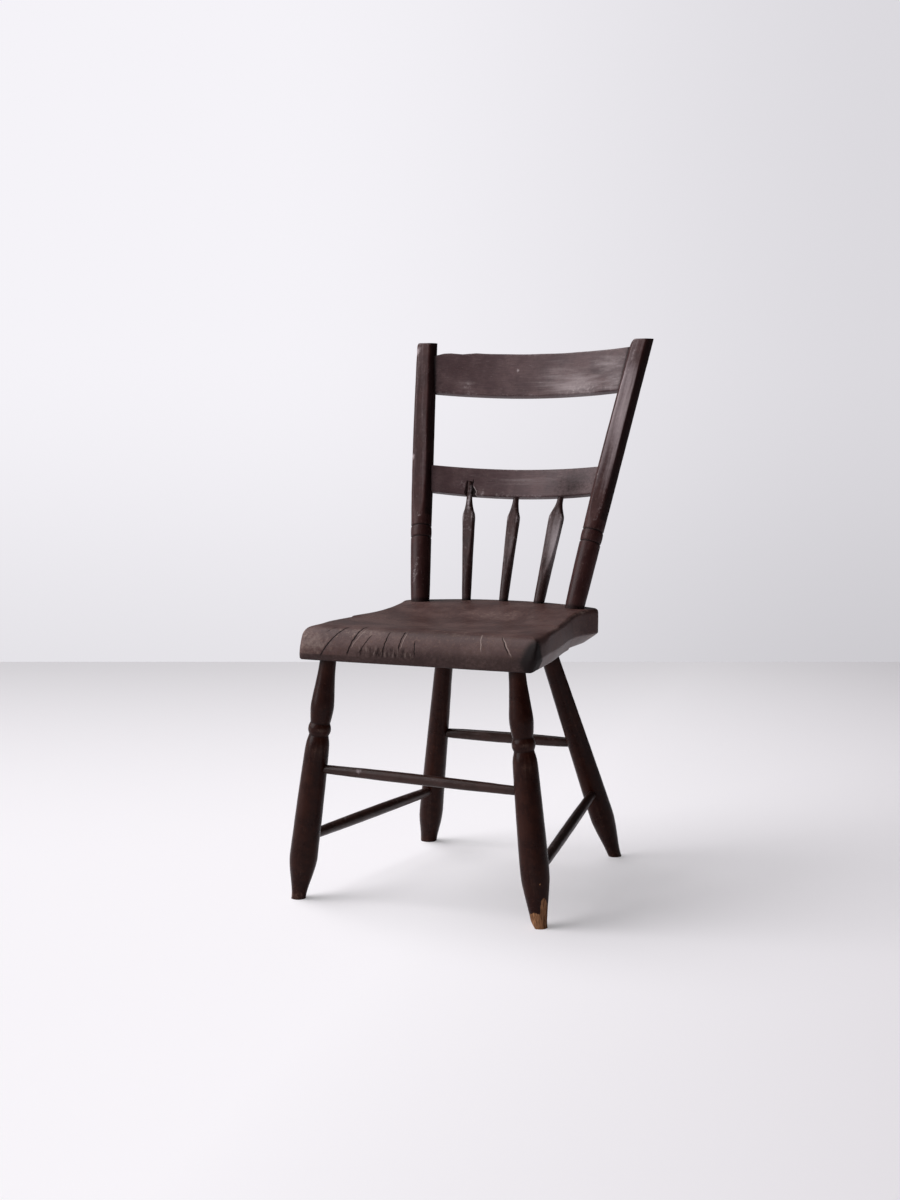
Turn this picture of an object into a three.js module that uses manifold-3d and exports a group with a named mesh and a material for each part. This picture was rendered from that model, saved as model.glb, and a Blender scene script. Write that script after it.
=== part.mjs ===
// A plank-seat side chair with a thumb back and three arrow spindles.
// Sixteen wooden pieces, millimetres, +Z up, the front of the chair toward -Y.
import * as THREE from 'three';
import { mergeVertices } from 'three/addons/utils/BufferGeometryUtils.js';
import Module from 'manifold-3d';

const wasm = await Module();
wasm.setup();

// Driving dimensions
const fit = 0.3;

// Seat plank, measured from a line midway between the front and rear feet
const seatUnderside = 373.5;
const seatFront = -228;
const seatRear = 164;
const seatRearBow = 37;
const seatFrontHalfWidth = 193;
const seatRearHalfWidth = 173;
const seatWaistHalfWidth = 160;
const seatWaistFromRear = 124;
const seatFrontCorner = 22;
const seatRearCorner = 14;
const edgeHeightFront = 53.3;
const edgeHeightRear = 59.1;
const rearCrown = 3;
const dishDepth = 7;
const frontRollDepth = 45;
const frontRollHeight = 40;
const frontRollLip = 14;
const frontRollTuck = 7;
const frontCornerEaseWidth = 26;
const frontCornerEaseHeight = 20;
const undersideBevelHeight = 20;
const undersideBevelInset = 9;
const undersideRearHalfWidth = 144;

// Legs
const legTenonDepth = 32;
const legTenonDiameter = 24;
const frontSocketFromSide = 39.3;
const frontSocketFromFront = 28;
const rearSocketFromSide = 85;
const rearSocketFromRear = 62.4;
const frontLegSwell = 43;
const frontLegSwellHeight = 85;
const ringHeight = 268;
const ringWidth = 19;
const ringDiameter = 35;
const neckDiameter = 30;
const vaseDiameter = 36;
const rearLegSwell = 40;
const rearLegTop = 29;

// Worn feet: toe is the diameter at the floor, ankle the diameter at the given length up the leg,
// splay and rake how far the foot stands out to the side and to the rear of its socket
const frontLeftFoot = { toe: 23, ankle: 41.5, length: 55, splay: 45.9, rake: -17.4 };
const frontRightFoot = { toe: 23.5, ankle: 38, length: 55, splay: 42.4, rake: -13.6 };
const rearLeftFoot = { toe: 28, ankle: 40, length: 50, splay: 73.4, rake: 91.4 };
const rearRightFoot = { toe: 21.5, ankle: 37, length: 60, splay: 85.5, rake: 117.2 };

// The corner that has split off the front right toe
const toeSplitDepth = 4.5;
const toeSplitHeight = 7;
const toeSplitTurn = THREE.MathUtils.degToRad(203);

// Stretchers: start and end are heights on the legs that each one ties
const stretcherTenonStop = 7;
const stretcherTenonDiameter = 12.5;
const frontStretcher = { start: 204.5, end: 197, diameter: 16.5 };
const rearStretcher = { start: 204.5, end: 202, diameter: 19 };
const leftStretcher = { start: 96.5, end: 97, diameter: 18.5 };
const rightStretcher = { start: 75.5, end: 116, diameter: 17.5 };

// Back
const backTilt = THREE.MathUtils.degToRad(20.8);
const postFromSide = 36.2;
const postFromRearCorner = 24;
const postSplay = THREE.MathUtils.degToRad(7.3);
const postLength = 471.5;
const postDiameter = 37;
const postFootDiameter = 31;
const postTenonDepth = 32;
const postTenonDiameter = 23;
const postBend = 5;
const postFlatDepth = 3.7;
const postFlatStart = 148;
const postRings = [110, 130];
const postRingDepth = 1.6;
const postRingHalfWidth = 1.8;
const railThickness = 16;
const railTenonStop = 5;
const crestFromPostTop = 19.5;
const crestHeight = 76;
const crestBottom = postLength - crestFromPostTop - crestHeight;
const crestBow = 26;
const lowerRailUnderCrest = 183.5;
const lowerRailBottom = crestBottom - lowerRailUnderCrest;
const lowerRailHeight = 47;
const lowerRailBow = 30;

// What wear has taken off the crest's top edge, as [distance from its left end, depth]
const crestWear = [[0, 12], [16, 11], [34, 4.5], [46, 3], [66, 3.5], [90, 0]];

// The burst in the lower rail's face over the left spindle's tenon, as [across, up] from the tenon's foot
const burstDepth = 7;
const burstOutline = [[-7, -5], [-6.5, 10], [-5.6, 24], [4.8, 24.5], [5.8, 28], [7.6, 27.6], [7.4, 15],
  [10, 12.5], [13.5, 7], [14, -5]];

// Spindles
const spindleSeatSpacing = 64.7;
const spindleSeatShift = -2.3;
const spindleRailSpacing = 82.3;
const spindleFromRearEdge = 20;
const spindleThickness = 12;
const spindleSeatTenon = 24;
const spindleRailTenon = 26;
const spindleTenonDiameter = 10;
const spindleNeckDiameter = 12;
const narrowSpindleWidth = 22;
const wideSpindleWidth = 26;

// Finishes
const finishes = {
  seat: { color: 0x5a4a48, roughness: 0.55 },
  leg: { color: 0x3a2c2a, roughness: 0.45 },
  stretcher: { color: 0x2e2422, roughness: 0.5 },
  post: { color: 0x4a3c3a, roughness: 0.5 },
  rail: { color: 0x54474a, roughness: 0.6 },
  spindle: { color: 0x3c302f, roughness: 0.5 },
};

// Solids: closed meshes cut and joined, then given back as geometry
function toSolid(geometry) {
  const bare = geometry.clone();
  bare.deleteAttribute('normal');
  bare.deleteAttribute('uv');
  const merged = mergeVertices(bare, 1e-4);
  const index = merged.index.array;
  const triangles = [];
  for (let i = 0; i < index.length; i += 3) {
    const [a, b, c] = [index[i], index[i + 1], index[i + 2]];
    if (a !== b && b !== c && c !== a) triangles.push(a, b, c);
  }
  return new wasm.Manifold(new wasm.Mesh({
    numProp: 3,
    vertProperties: Float32Array.from(merged.attributes.position.array),
    triVerts: Uint32Array.from(triangles),
  }));
}

function toGeometry(solid) {
  const mesh = solid.getMesh();
  const geometry = new THREE.BufferGeometry();
  geometry.setAttribute('position', new THREE.BufferAttribute(mesh.vertProperties, 3));
  geometry.setIndex(new THREE.BufferAttribute(mesh.triVerts, 1));
  geometry.computeVertexNormals();
  return geometry;
}

const chair = new THREE.Group();

function piece(name, geometry, finish, parent = chair) {
  const mesh = new THREE.Mesh(geometry, new THREE.MeshStandardMaterial({ ...finish, metalness: 0 }));
  mesh.name = name;
  parent.add(mesh);
  return mesh;
}

function standAlong(mesh, base, tip) {
  mesh.position.copy(base);
  const direction = tip.clone().sub(base).normalize();
  mesh.quaternion.setFromUnitVectors(new THREE.Vector3(0, 0, 1), direction);
}

// Takes a shape out of a piece, where the shape stands as another piece does
function socket(host, guest, bore) {
  host.updateWorldMatrix(true, false);
  guest.updateWorldMatrix(true, false);
  const toHost = host.matrixWorld.clone().invert().multiply(guest.matrixWorld);
  const tool = toSolid(bore.clone().applyMatrix4(toHost));
  host.geometry = toGeometry(toSolid(host.geometry).subtract(tool));
}

// A turning stands along +Z. Each run is a smooth curve through [height, diameter] points,
// and one run meets the next at a crease.
function turning(runs, { grow = 0, sides = 20 } = {}) {
  const outline = [];
  for (const { points, steps } of runs) {
    const curve = new THREE.SplineCurve(points.map(([z, d]) => new THREE.Vector2(d / 2 + grow, z)));
    const samples = curve.getPoints(steps);
    outline.push(...(outline.length ? samples.slice(1) : samples));
  }
  const first = outline[0];
  const last = outline[outline.length - 1];
  const profile = [
    new THREE.Vector2(0, first.y - grow),
    new THREE.Vector2(first.x, first.y - grow),
    ...outline.slice(1, -1),
    new THREE.Vector2(last.x, last.y + grow),
    new THREE.Vector2(0, last.y + grow),
  ];
  return new THREE.LatheGeometry(profile, sides).rotateX(Math.PI / 2);
}

// Seat
function seatRearEdge(x) {
  return seatRear - seatRearBow * (x / seatRearHalfWidth) ** 2;
}

function seatPlan() {
  const cornerY = seatRearEdge(seatRearHalfWidth);
  const front = seatFront - undersideBevelInset;
  const side = new THREE.SplineCurve([
    new THREE.Vector2(seatFrontHalfWidth, front + seatFrontCorner),
    new THREE.Vector2((seatFrontHalfWidth + seatWaistHalfWidth) / 2 + 4, seatFront + 128),
    new THREE.Vector2(seatWaistHalfWidth, seatRear - seatWaistFromRear),
    new THREE.Vector2(seatRearHalfWidth, cornerY - seatRearCorner),
  ]).getPoints(14);
  const frontCorner = new THREE.EllipseCurve(
    seatFrontHalfWidth - seatFrontCorner, front + seatFrontCorner,
    seatFrontCorner, seatFrontCorner, -Math.PI / 2, 0,
  ).getPoints(5);
  const rearCorner = new THREE.QuadraticBezierCurve(
    side[side.length - 1],
    new THREE.Vector2(seatRearHalfWidth + 1, cornerY),
    new THREE.Vector2(seatRearHalfWidth - seatRearCorner, seatRearEdge(seatRearHalfWidth - seatRearCorner)),
  ).getPoints(4);
  const rear = [0.75, 0.55, 0.3].map((share) => {
    const x = share * seatRearHalfWidth;
    return new THREE.Vector2(x, seatRearEdge(x));
  });
  const half = [...frontCorner, ...side.slice(1), ...rearCorner.slice(1), ...rear];
  const mirrored = half.map((p) => new THREE.Vector2(-p.x, p.y)).reverse();
  return new THREE.Shape([...half, new THREE.Vector2(0, seatRear), ...mirrored]);
}

// Height of the hollowed top above the underside
function seatTop(x, y) {
  const step = THREE.MathUtils.smoothstep;
  const rise = step(y, seatRear - 204, seatRear - 74);
  const across = 1 - Math.min(1, (x / seatRearHalfWidth) ** 2);
  const along = step(y, seatFront + 34, seatFront + 118) * (1 - step(y, seatRear - 184, seatRear - 69));
  const edge = edgeHeightFront + (edgeHeightRear - edgeHeightFront) * rise;
  return edge + rearCrown * rise * across - dishDepth * along * across ** 1.5;
}

// The underside runs straight back from the waist, so its bevel widens toward the rear corners
function undersideHalfWidth(y) {
  const forward = Math.max(0, seatRear - seatWaistFromRear - y);
  return undersideRearHalfWidth + forward;
}

// What is worn and rounded off the top of a front corner
function cornerEase(side) {
  const inner = seatFrontHalfWidth - frontCornerEaseWidth;
  const bottom = edgeHeightFront - frontCornerEaseHeight;
  const outer = seatFrontHalfWidth + 10;
  const waste = new THREE.Shape();
  waste.absellipse(inner, bottom, frontCornerEaseWidth, frontCornerEaseHeight, Math.PI / 2, 0, true);
  waste.lineTo(outer, bottom);
  waste.lineTo(outer, edgeHeightFront + 10);
  waste.lineTo(inner, edgeHeightFront + 10);
  const geometry = new THREE.ExtrudeGeometry(waste, { depth: 160, bevelEnabled: false, curveSegments: 7 })
    .rotateX(Math.PI / 2)
    .translate(0, seatFront + 150, 0);
  return side > 0 ? geometry : geometry.rotateZ(Math.PI).translate(0, 2 * seatFront + 140, 0);
}

function seatPlank() {
  const blankHeight = edgeHeightRear + rearCrown + 2 * undersideBevelHeight;
  const blank = new THREE.ExtrudeGeometry(seatPlan(), {
    depth: blankHeight,
    bevelThickness: undersideBevelHeight,
    bevelSize: undersideBevelInset,
    bevelOffset: -undersideBevelInset,
    bevelSegments: 1,
  }).translate(0, 0, undersideBevelHeight);
  const corners = blank.attributes.position;
  for (let i = 0; i < corners.count; i++) {
    if (corners.getZ(i) > undersideBevelHeight / 2) continue;
    const most = undersideHalfWidth(corners.getY(i));
    corners.setX(i, THREE.MathUtils.clamp(corners.getX(i), -most, most));
  }

  const roll = new THREE.Shape();
  roll.moveTo(seatFront + frontRollTuck, 0);
  roll.absellipse(seatFront + frontRollTuck, frontRollLip, frontRollTuck, frontRollLip, -Math.PI / 2, -Math.PI, true);
  roll.absellipse(seatFront + frontRollDepth, frontRollLip, frontRollDepth, frontRollHeight, Math.PI, Math.PI / 2, true);
  roll.lineTo(seatFront + frontRollDepth, blankHeight);
  roll.lineTo(seatRear + seatRearCorner, blankHeight);
  roll.lineTo(seatRear + seatRearCorner, 0);
  const width = 2 * seatFrontHalfWidth + 20;
  const section = new THREE.ExtrudeGeometry(roll, { depth: width, bevelEnabled: false, curveSegments: 9 })
    .applyMatrix4(new THREE.Matrix4().set(
      0, 0, 1, -width / 2,
      1, 0, 0, 0,
      0, 1, 0, 0,
      0, 0, 0, 1,
    ));

  const depth = seatRear - seatFront + 20;
  const hollow = new THREE.BoxGeometry(width, depth, blankHeight, 16, 20, 1);
  hollow.translate(0, (seatRear + seatFront) / 2, 0);
  const vertices = hollow.attributes.position;
  for (let i = 0; i < vertices.count; i++) {
    const top = vertices.getZ(i) > 0;
    vertices.setZ(i, top ? 2 * blankHeight : seatTop(vertices.getX(i), vertices.getY(i)));
  }
  const plank = toSolid(blank).intersect(toSolid(section)).subtract(toSolid(hollow));
  return toGeometry([-1, 1].reduce((solid, side) => solid.subtract(toSolid(cornerEase(side))), plank));
}

const seat = piece('seat', seatPlank(), finishes.seat);
seat.position.z = seatUnderside;

// Legs
function frontLeg(length, foot, grow = 0) {
  const ringBottom = ringHeight - ringWidth / 2;
  const ringTop = ringHeight + ringWidth / 2;
  return turning([
    { points: [[-12, foot.toe], [foot.length * 0.2, foot.toe + 1], [foot.length, foot.ankle],
      [frontLegSwellHeight, frontLegSwell], [160, frontLegSwell - 2], [ringBottom - 34, frontLegSwell - 5]], steps: 13 },
    { points: [[ringBottom - 34, frontLegSwell - 5], [ringBottom - 14, frontLegSwell - 7],
      [ringBottom, neckDiameter]], steps: 4 },
    { points: [[ringBottom, neckDiameter], [ringHeight - 4, ringDiameter - 0.6], [ringHeight, ringDiameter],
      [ringHeight + 4, ringDiameter - 0.6], [ringTop, neckDiameter + 0.5]], steps: 6 },
    { points: [[ringTop, neckDiameter + 0.5], [ringTop + 12, vaseDiameter - 2], [ringTop + 27, vaseDiameter],
      [ringTop + 50, vaseDiameter - 4], [seatUnderside - 10, legTenonDiameter + 2],
      [length, legTenonDiameter]], steps: 11 },
  ], { grow });
}

function rearLeg(length, foot, grow = 0) {
  return turning([
    { points: [[-25, foot.toe], [foot.length * 0.15, foot.toe + 1], [foot.length, foot.ankle],
      [90, rearLegSwell], [190, rearLegSwell - 3.5], [300, rearLegSwell - 8],
      [seatUnderside, rearLegTop], [length, legTenonDiameter + 2]], steps: 15 },
  ], { grow });
}

const legs = [
  { name: 'front_left_leg', side: -1, turn: frontLeg, foot: frontLeftFoot },
  { name: 'front_right_leg', side: 1, turn: frontLeg, foot: frontRightFoot },
  { name: 'rear_left_leg', side: -1, rear: true, turn: rearLeg, foot: rearLeftFoot },
  { name: 'rear_right_leg', side: 1, rear: true, turn: rearLeg, foot: rearRightFoot },
];

const floorReach = 2 * (seatRear - seatFront);
const floor = new THREE.Mesh(new THREE.BoxGeometry(floorReach, floorReach, seatUnderside).translate(0, 0, -seatUnderside / 2));

for (const leg of legs) {
  const socketX = leg.rear
    ? seatRearHalfWidth - rearSocketFromSide
    : seatFrontHalfWidth - frontSocketFromSide;
  const socketY = leg.rear ? seatRear - rearSocketFromRear : seatFront + frontSocketFromFront;
  leg.head = new THREE.Vector3(leg.side * socketX, socketY, seatUnderside);
  leg.base = new THREE.Vector3(leg.side * (socketX + leg.foot.splay), socketY + leg.foot.rake, 0);
  leg.length = leg.base.distanceTo(leg.head) + legTenonDepth;
  leg.mesh = piece(leg.name, leg.turn(leg.length, leg.foot), finishes.leg);
  standAlong(leg.mesh, leg.base, leg.head);
  socket(leg.mesh, floor, floor.geometry);
  socket(seat, leg.mesh, leg.turn(leg.length, leg.foot, fit));
}

// The split faces outward and down, from the floor up to where it leaves the toe
function toeSplit(leg) {
  const size = leg.foot.length;
  const tool = new THREE.Mesh(new THREE.BoxGeometry(size, size, size));
  const lean = Math.atan2(toeSplitDepth, toeSplitHeight);
  const out = new THREE.Vector3(Math.cos(toeSplitTurn), Math.sin(toeSplitTurn), 0);
  const facing = out.clone().multiplyScalar(Math.cos(lean)).add(new THREE.Vector3(0, 0, -Math.sin(lean)));
  tool.quaternion.setFromUnitVectors(new THREE.Vector3(1, 0, 0), facing);
  tool.position.copy(leg.base)
    .addScaledVector(out, leg.foot.toe / 2 - toeSplitDepth)
    .addScaledVector(facing, size / 2);
  return tool;
}

const splitLeg = legs[1];
const split = toeSplit(splitLeg);
socket(splitLeg.mesh, split, split.geometry);

function onLeg(leg, height) {
  return leg.base.clone().lerp(leg.head, height / seatUnderside);
}

// Stretchers
function stretcher(length, diameter, grow = 0) {
  const tenon = Math.min(18, length / 4);
  return turning([
    { points: [[0, stretcherTenonDiameter], [tenon, diameter - 2.5], [length * 0.3, diameter - 0.4],
      [length / 2, diameter], [length * 0.7, diameter - 0.4], [length - tenon, diameter - 2.5],
      [length, stretcherTenonDiameter]], steps: 14 },
  ], { grow, sides: 16 });
}

const [frontLeft, frontRight, rearLeft, rearRight] = legs;
const stretchers = [
  { name: 'front_stretcher', from: frontLeft, to: frontRight, size: frontStretcher },
  { name: 'rear_stretcher', from: rearLeft, to: rearRight, size: rearStretcher },
  { name: 'left_side_stretcher', from: frontLeft, to: rearLeft, size: leftStretcher },
  { name: 'right_side_stretcher', from: frontRight, to: rearRight, size: rightStretcher },
];

for (const { name, from, to, size } of stretchers) {
  const start = onLeg(from, size.start);
  const end = onLeg(to, size.end);
  const length = start.distanceTo(end) - 2 * stretcherTenonStop;
  const mesh = piece(name, stretcher(length, size.diameter), finishes.stretcher);
  const base = start.clone().lerp(end, stretcherTenonStop / start.distanceTo(end));
  standAlong(mesh, base, end);
  for (const leg of [from, to]) socket(leg.mesh, mesh, stretcher(length, size.diameter, fit));
}

// Back: posts and rails share a leaning frame, with its own +Z up along the lean
const postX = seatRearHalfWidth - postFromSide;
const postY = seatRearEdge(seatRearHalfWidth) - postFromRearCorner + 1;
const postFootHeight = seatUnderside + seatTop(postX, postY);
const back = new THREE.Group();
back.position.set(0, postY, postFootHeight);
back.rotation.x = -backTilt;
chair.add(back);

// How far the bent post stands forward of a straight one
function postForward(height) {
  const share = THREE.MathUtils.clamp(height / postLength, 0, 1);
  return postBend * 4 * share * (1 - share);
}

function ringGroove(height, diameter) {
  return { points: [[height - postRingHalfWidth, diameter], [height, diameter - 2 * postRingDepth],
    [height + postRingHalfWidth, diameter]], steps: 2 };
}

function post(grow = 0) {
  const waist = postDiameter - 2;
  const [lowRing, highRing] = postRings;
  const round = turning([
    { points: [[-postTenonDepth, postTenonDiameter], [0, postFootDiameter],
      [50, waist - 1.2], [lowRing - postRingHalfWidth, waist]], steps: 6 },
    ringGroove(lowRing, waist),
    { points: [[lowRing + postRingHalfWidth, waist], [(lowRing + highRing) / 2, waist + 0.8],
      [highRing - postRingHalfWidth, waist]], steps: 2 },
    ringGroove(highRing, waist),
    { points: [[highRing + postRingHalfWidth, waist], [postFlatStart + 30, postDiameter - 0.8],
      [postLength * 0.6, postDiameter], [postLength * 0.9, postDiameter - 1],
      [postLength + postDiameter / 2, postDiameter - 2]], steps: 10 },
  ], { grow });
  const vertices = round.attributes.position;
  for (let i = 0; i < vertices.count; i++) {
    vertices.setY(i, vertices.getY(i) - postForward(vertices.getZ(i)));
  }
  return round;
}

// Shaved front face of a post, running out in a pointed arch above the rings
function postFlat() {
  const reach = postDiameter;
  const surface = -postDiameter / 2;
  const side = new THREE.Shape();
  side.moveTo(surface - reach, postFlatStart - 10);
  side.lineTo(surface, postFlatStart - 10 - 6);
  const cutAt = (height, depth) => new THREE.Vector2(surface + depth - postForward(height), height);
  side.splineThru([
    cutAt(postFlatStart, 1.6),
    cutAt(postFlatStart + 34, postFlatDepth),
    cutAt(postLength / 2, postFlatDepth),
    cutAt(postLength * 0.75, postFlatDepth),
    cutAt(postLength + postDiameter, postFlatDepth),
  ]);
  side.lineTo(surface - reach, postLength + postDiameter);
  const width = 2 * postDiameter;
  return new THREE.ExtrudeGeometry(side, { depth: width, bevelEnabled: false, curveSegments: 5 })
    .applyMatrix4(new THREE.Matrix4().set(
      0, 0, 1, -width / 2,
      1, 0, 0, 0,
      0, 1, 0, 0,
      0, 0, 0, 1,
    ));
}

// A post's top is sawn level with the floor
function levelTop(upright) {
  upright.updateWorldMatrix(true, false);
  const waste = new THREE.Mesh(new THREE.BoxGeometry(4 * postDiameter, 4 * postDiameter, postDiameter));
  waste.position.set(0, 0, postLength).applyMatrix4(upright.matrixWorld);
  waste.position.z += postDiameter / 2;
  socket(upright, waste, waste.geometry);
}

const posts = [-1, 1].map((side) => {
  const mesh = piece(side < 0 ? 'left_back_post' : 'right_back_post', post(), finishes.post, back);
  mesh.position.x = side * postX;
  mesh.rotation.y = side * postSplay;
  socket(mesh, mesh, postFlat());
  socket(seat, mesh, post(fit));
  levelTop(mesh);
  return mesh;
});

// A rail is a board bowed toward the back between the posts, cut to the posts' splay
function rail(bottom, height, bow, grow = 0) {
  const halfAt = (z) => postX + z * Math.tan(postSplay) - railTenonStop + grow;
  const reach = halfAt(bottom + height) + 20;
  const middle = bottom + height / 2;
  const endY = -postForward(middle);
  const backAt = (x) => endY + bow * (1 - (x / halfAt(middle)) ** 2);
  const xs = Array.from({ length: 19 }, (_, i) => reach * (i / 9 - 1));
  const half = railThickness / 2 + grow;
  const board = new THREE.Shape([
    ...xs.map((x) => new THREE.Vector2(x, backAt(x) - half)),
    ...xs.reverse().map((x) => new THREE.Vector2(x, backAt(x) + half)),
  ]);
  const blank = new THREE.ExtrudeGeometry(board, { depth: height + 2 * grow, bevelEnabled: false })
    .translate(0, 0, bottom - grow);
  const low = bottom - 10;
  const high = bottom + height + 10;
  const outline = new THREE.Shape([
    new THREE.Vector2(-halfAt(low), low),
    new THREE.Vector2(halfAt(low), low),
    new THREE.Vector2(halfAt(high), high),
    new THREE.Vector2(-halfAt(high), high),
  ]);
  const depth = 200;
  const ends = new THREE.ExtrudeGeometry(outline, { depth, bevelEnabled: false })
    .rotateX(Math.PI / 2)
    .translate(0, depth / 2, 0);
  return toGeometry(toSolid(blank).intersect(toSolid(ends)));
}

function backAtRail(x, bottom, height, bow) {
  const middle = bottom + height / 2;
  const half = postX + middle * Math.tan(postSplay) - railTenonStop;
  return -postForward(middle) + bow * (1 - (x / half) ** 2);
}

const rails = [
  { name: 'crest_rail', size: [crestBottom, crestHeight, crestBow] },
  { name: 'lower_back_rail', size: [lowerRailBottom, lowerRailHeight, lowerRailBow] },
].map(({ name, size }) => {
  const mesh = piece(name, rail(...size), finishes.rail, back);
  for (const upright of posts) socket(upright, mesh, rail(...size, fit));
  return mesh;
});
const [crest, lowerRail] = rails;

// A shape in the back's own plane, as deep as given from its front
function inBack(outline, depth, front) {
  const shape = new THREE.Shape(outline.map(([x, z]) => new THREE.Vector2(x, z)));
  return new THREE.ExtrudeGeometry(shape, { depth, bevelEnabled: false })
    .rotateX(Math.PI / 2)
    .translate(0, front + depth, 0);
}

const crestTop = crestBottom + crestHeight;
const crestEnd = postX + crestTop * Math.tan(postSplay);
const crestWaste = crestWear.map(([along, depth]) => [along - crestEnd, crestTop - depth]);
socket(crest, back, inBack([...crestWaste, [crestWaste.at(-1)[0], crestTop + crestHeight],
  [-crestEnd, crestTop + crestHeight]], 4 * crestBow, -2 * crestBow));

// Spindles: round at the seat, flattened into an arrow below the lower rail
function spindle(length, width, grow = 0) {
  const round = turning([
    { points: [[-spindleSeatTenon, width * 0.6], [0, width * 0.7], [length * 0.4, width * 0.84],
      [length * 0.78, width]], steps: 7 },
    { points: [[length * 0.78, width], [length * 0.82, width * 0.96], [length * 0.87, width * 0.72],
      [length * 0.93, spindleNeckDiameter], [length, spindleTenonDiameter],
      [length + spindleRailTenon, spindleTenonDiameter]], steps: 9 },
  ], { grow, sides: 16 });
  const half = spindleThickness / 2 + grow;
  const reach = width;
  const flats = [-1, 1].map((face) => new THREE.BoxGeometry(4 * width, reach, length)
    .translate(0, face * (half + reach / 2), length * 0.95));
  return flats.reduce((solid, flat) => solid.subtract(toSolid(flat)), toSolid(round));
}

const spindles = [
  { name: 'left_arrow_spindle', place: -1, width: narrowSpindleWidth },
  { name: 'middle_arrow_spindle', place: 0, width: narrowSpindleWidth },
  { name: 'right_arrow_spindle', place: 1, width: wideSpindleWidth },
];

back.updateWorldMatrix(true, false);
for (const { name, place, width } of spindles) {
  const x = place * spindleSeatSpacing + spindleSeatShift;
  const y = seatRearEdge(x) - spindleFromRearEdge;
  const base = new THREE.Vector3(x, y, seatUnderside + seatTop(x, y));
  const railX = place * spindleRailSpacing;
  const tip = new THREE.Vector3(railX, backAtRail(railX, lowerRailBottom, lowerRailHeight, lowerRailBow), lowerRailBottom)
    .applyMatrix4(back.matrixWorld);
  const length = base.distanceTo(tip);
  const mesh = piece(name, toGeometry(spindle(length, width)), finishes.spindle);
  standAlong(mesh, base, tip);
  const bore = toGeometry(spindle(length, width, fit));
  socket(seat, mesh, bore);
  socket(lowerRail, mesh, bore);
}

const burstFace = backAtRail(spindleRailSpacing, lowerRailBottom, lowerRailHeight, lowerRailBow) - railThickness / 2;
const burst = burstOutline.map(([across, up]) => [across - spindleRailSpacing, up + lowerRailBottom]);
socket(lowerRail, back, inBack(burst, railThickness, burstFace + burstDepth - railThickness));

// The origin lies on the floor, midway across and along the chair
const box = new THREE.Box3().setFromObject(chair, true);
const middle = box.getCenter(new THREE.Vector3());
chair.position.set(-middle.x, -middle.y, 0);

export default chair;
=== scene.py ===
# %% [markdown]
# # A worn plank-seat chair
# This lesson dresses a country side chair: a thick hollowed seat, four turned and splayed legs tied by
# stretchers, and a leaning back with two bent posts, a crest board, a lower rail and three arrow spindles.
# Its old dark brown paint is rubbed, crazed and chipped, and one toe has lost its paint and a piece of wood.
#
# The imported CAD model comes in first. It is never moved: it says where each piece stands and how big it is,
# and every piece made here takes the place of the node that has its name.

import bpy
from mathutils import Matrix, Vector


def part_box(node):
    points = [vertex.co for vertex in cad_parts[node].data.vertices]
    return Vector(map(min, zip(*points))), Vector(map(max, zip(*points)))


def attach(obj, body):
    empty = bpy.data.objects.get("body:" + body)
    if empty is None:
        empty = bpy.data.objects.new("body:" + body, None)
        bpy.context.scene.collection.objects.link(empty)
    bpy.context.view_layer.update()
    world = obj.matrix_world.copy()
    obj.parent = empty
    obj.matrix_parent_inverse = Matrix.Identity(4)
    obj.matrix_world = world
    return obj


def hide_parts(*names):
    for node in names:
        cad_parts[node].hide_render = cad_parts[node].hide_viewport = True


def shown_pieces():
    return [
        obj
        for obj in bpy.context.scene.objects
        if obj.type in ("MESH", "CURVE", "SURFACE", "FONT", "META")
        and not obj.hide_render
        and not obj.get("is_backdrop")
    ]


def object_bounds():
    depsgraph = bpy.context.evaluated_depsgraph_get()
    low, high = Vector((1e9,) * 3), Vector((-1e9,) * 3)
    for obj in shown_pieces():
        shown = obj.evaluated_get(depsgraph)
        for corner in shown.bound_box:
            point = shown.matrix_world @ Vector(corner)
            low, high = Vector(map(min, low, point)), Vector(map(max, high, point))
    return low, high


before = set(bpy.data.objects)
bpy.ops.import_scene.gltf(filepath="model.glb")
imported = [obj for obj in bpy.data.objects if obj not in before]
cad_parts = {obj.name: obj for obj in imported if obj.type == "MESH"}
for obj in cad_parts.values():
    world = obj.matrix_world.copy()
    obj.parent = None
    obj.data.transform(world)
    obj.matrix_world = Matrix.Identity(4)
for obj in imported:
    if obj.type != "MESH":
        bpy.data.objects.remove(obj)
cad_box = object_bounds()
print("nodes:", sorted(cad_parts))
print("CAD box, mm:", [[round(v * 1000, 1) for v in corner] for corner in cad_box])

# %% [markdown]
# ## Sizes
# A chair like this is made from a few sizes, and everything else follows from them. They are the same
# sizes that the CAD model has, in millimetres, with the seat's underside and rear edge to measure from.
# The frame is centred on the whole chair, so one shift takes a size into it: the seat node's box gives it.

# %% Sizes in millimetres
import math

import bpy
import numpy as np
from mathutils import Matrix, Vector

MM = 0.001
SEAT_UNDERSIDE, SEAT_FRONT, SEAT_REAR, REAR_BOW = 373.5, -228.0, 164.0, 37.0
FRONT_HALF, REAR_HALF, WAIST_HALF, WAIST_FROM_REAR = 193.0, 173.0, 160.0, 124.0
FRONT_CORNER, REAR_CORNER = 22.0, 14.0
EDGE_FRONT, EDGE_REAR, REAR_CROWN, DISH = 53.3, 59.1, 3.0, 7.0
ROLL_DEPTH, ROLL_HEIGHT, ROLL_LIP, ROLL_TUCK = 45.0, 40.0, 14.0, 7.0
EASE_WIDTH, EASE_HEIGHT = 26.0, 20.0
BEVEL_HEIGHT, BEVEL_INSET, UNDER_REAR_HALF, LEFT_END_LEAN = 20.0, 9.0, 144.0, 3.0
CHIP_X, CHIP_Y, CHIP_HEIGHT, CHIP_REACH, CHIP_LENGTH = 173.0, 104.0, 6.0, 6.0, 9.0
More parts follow.
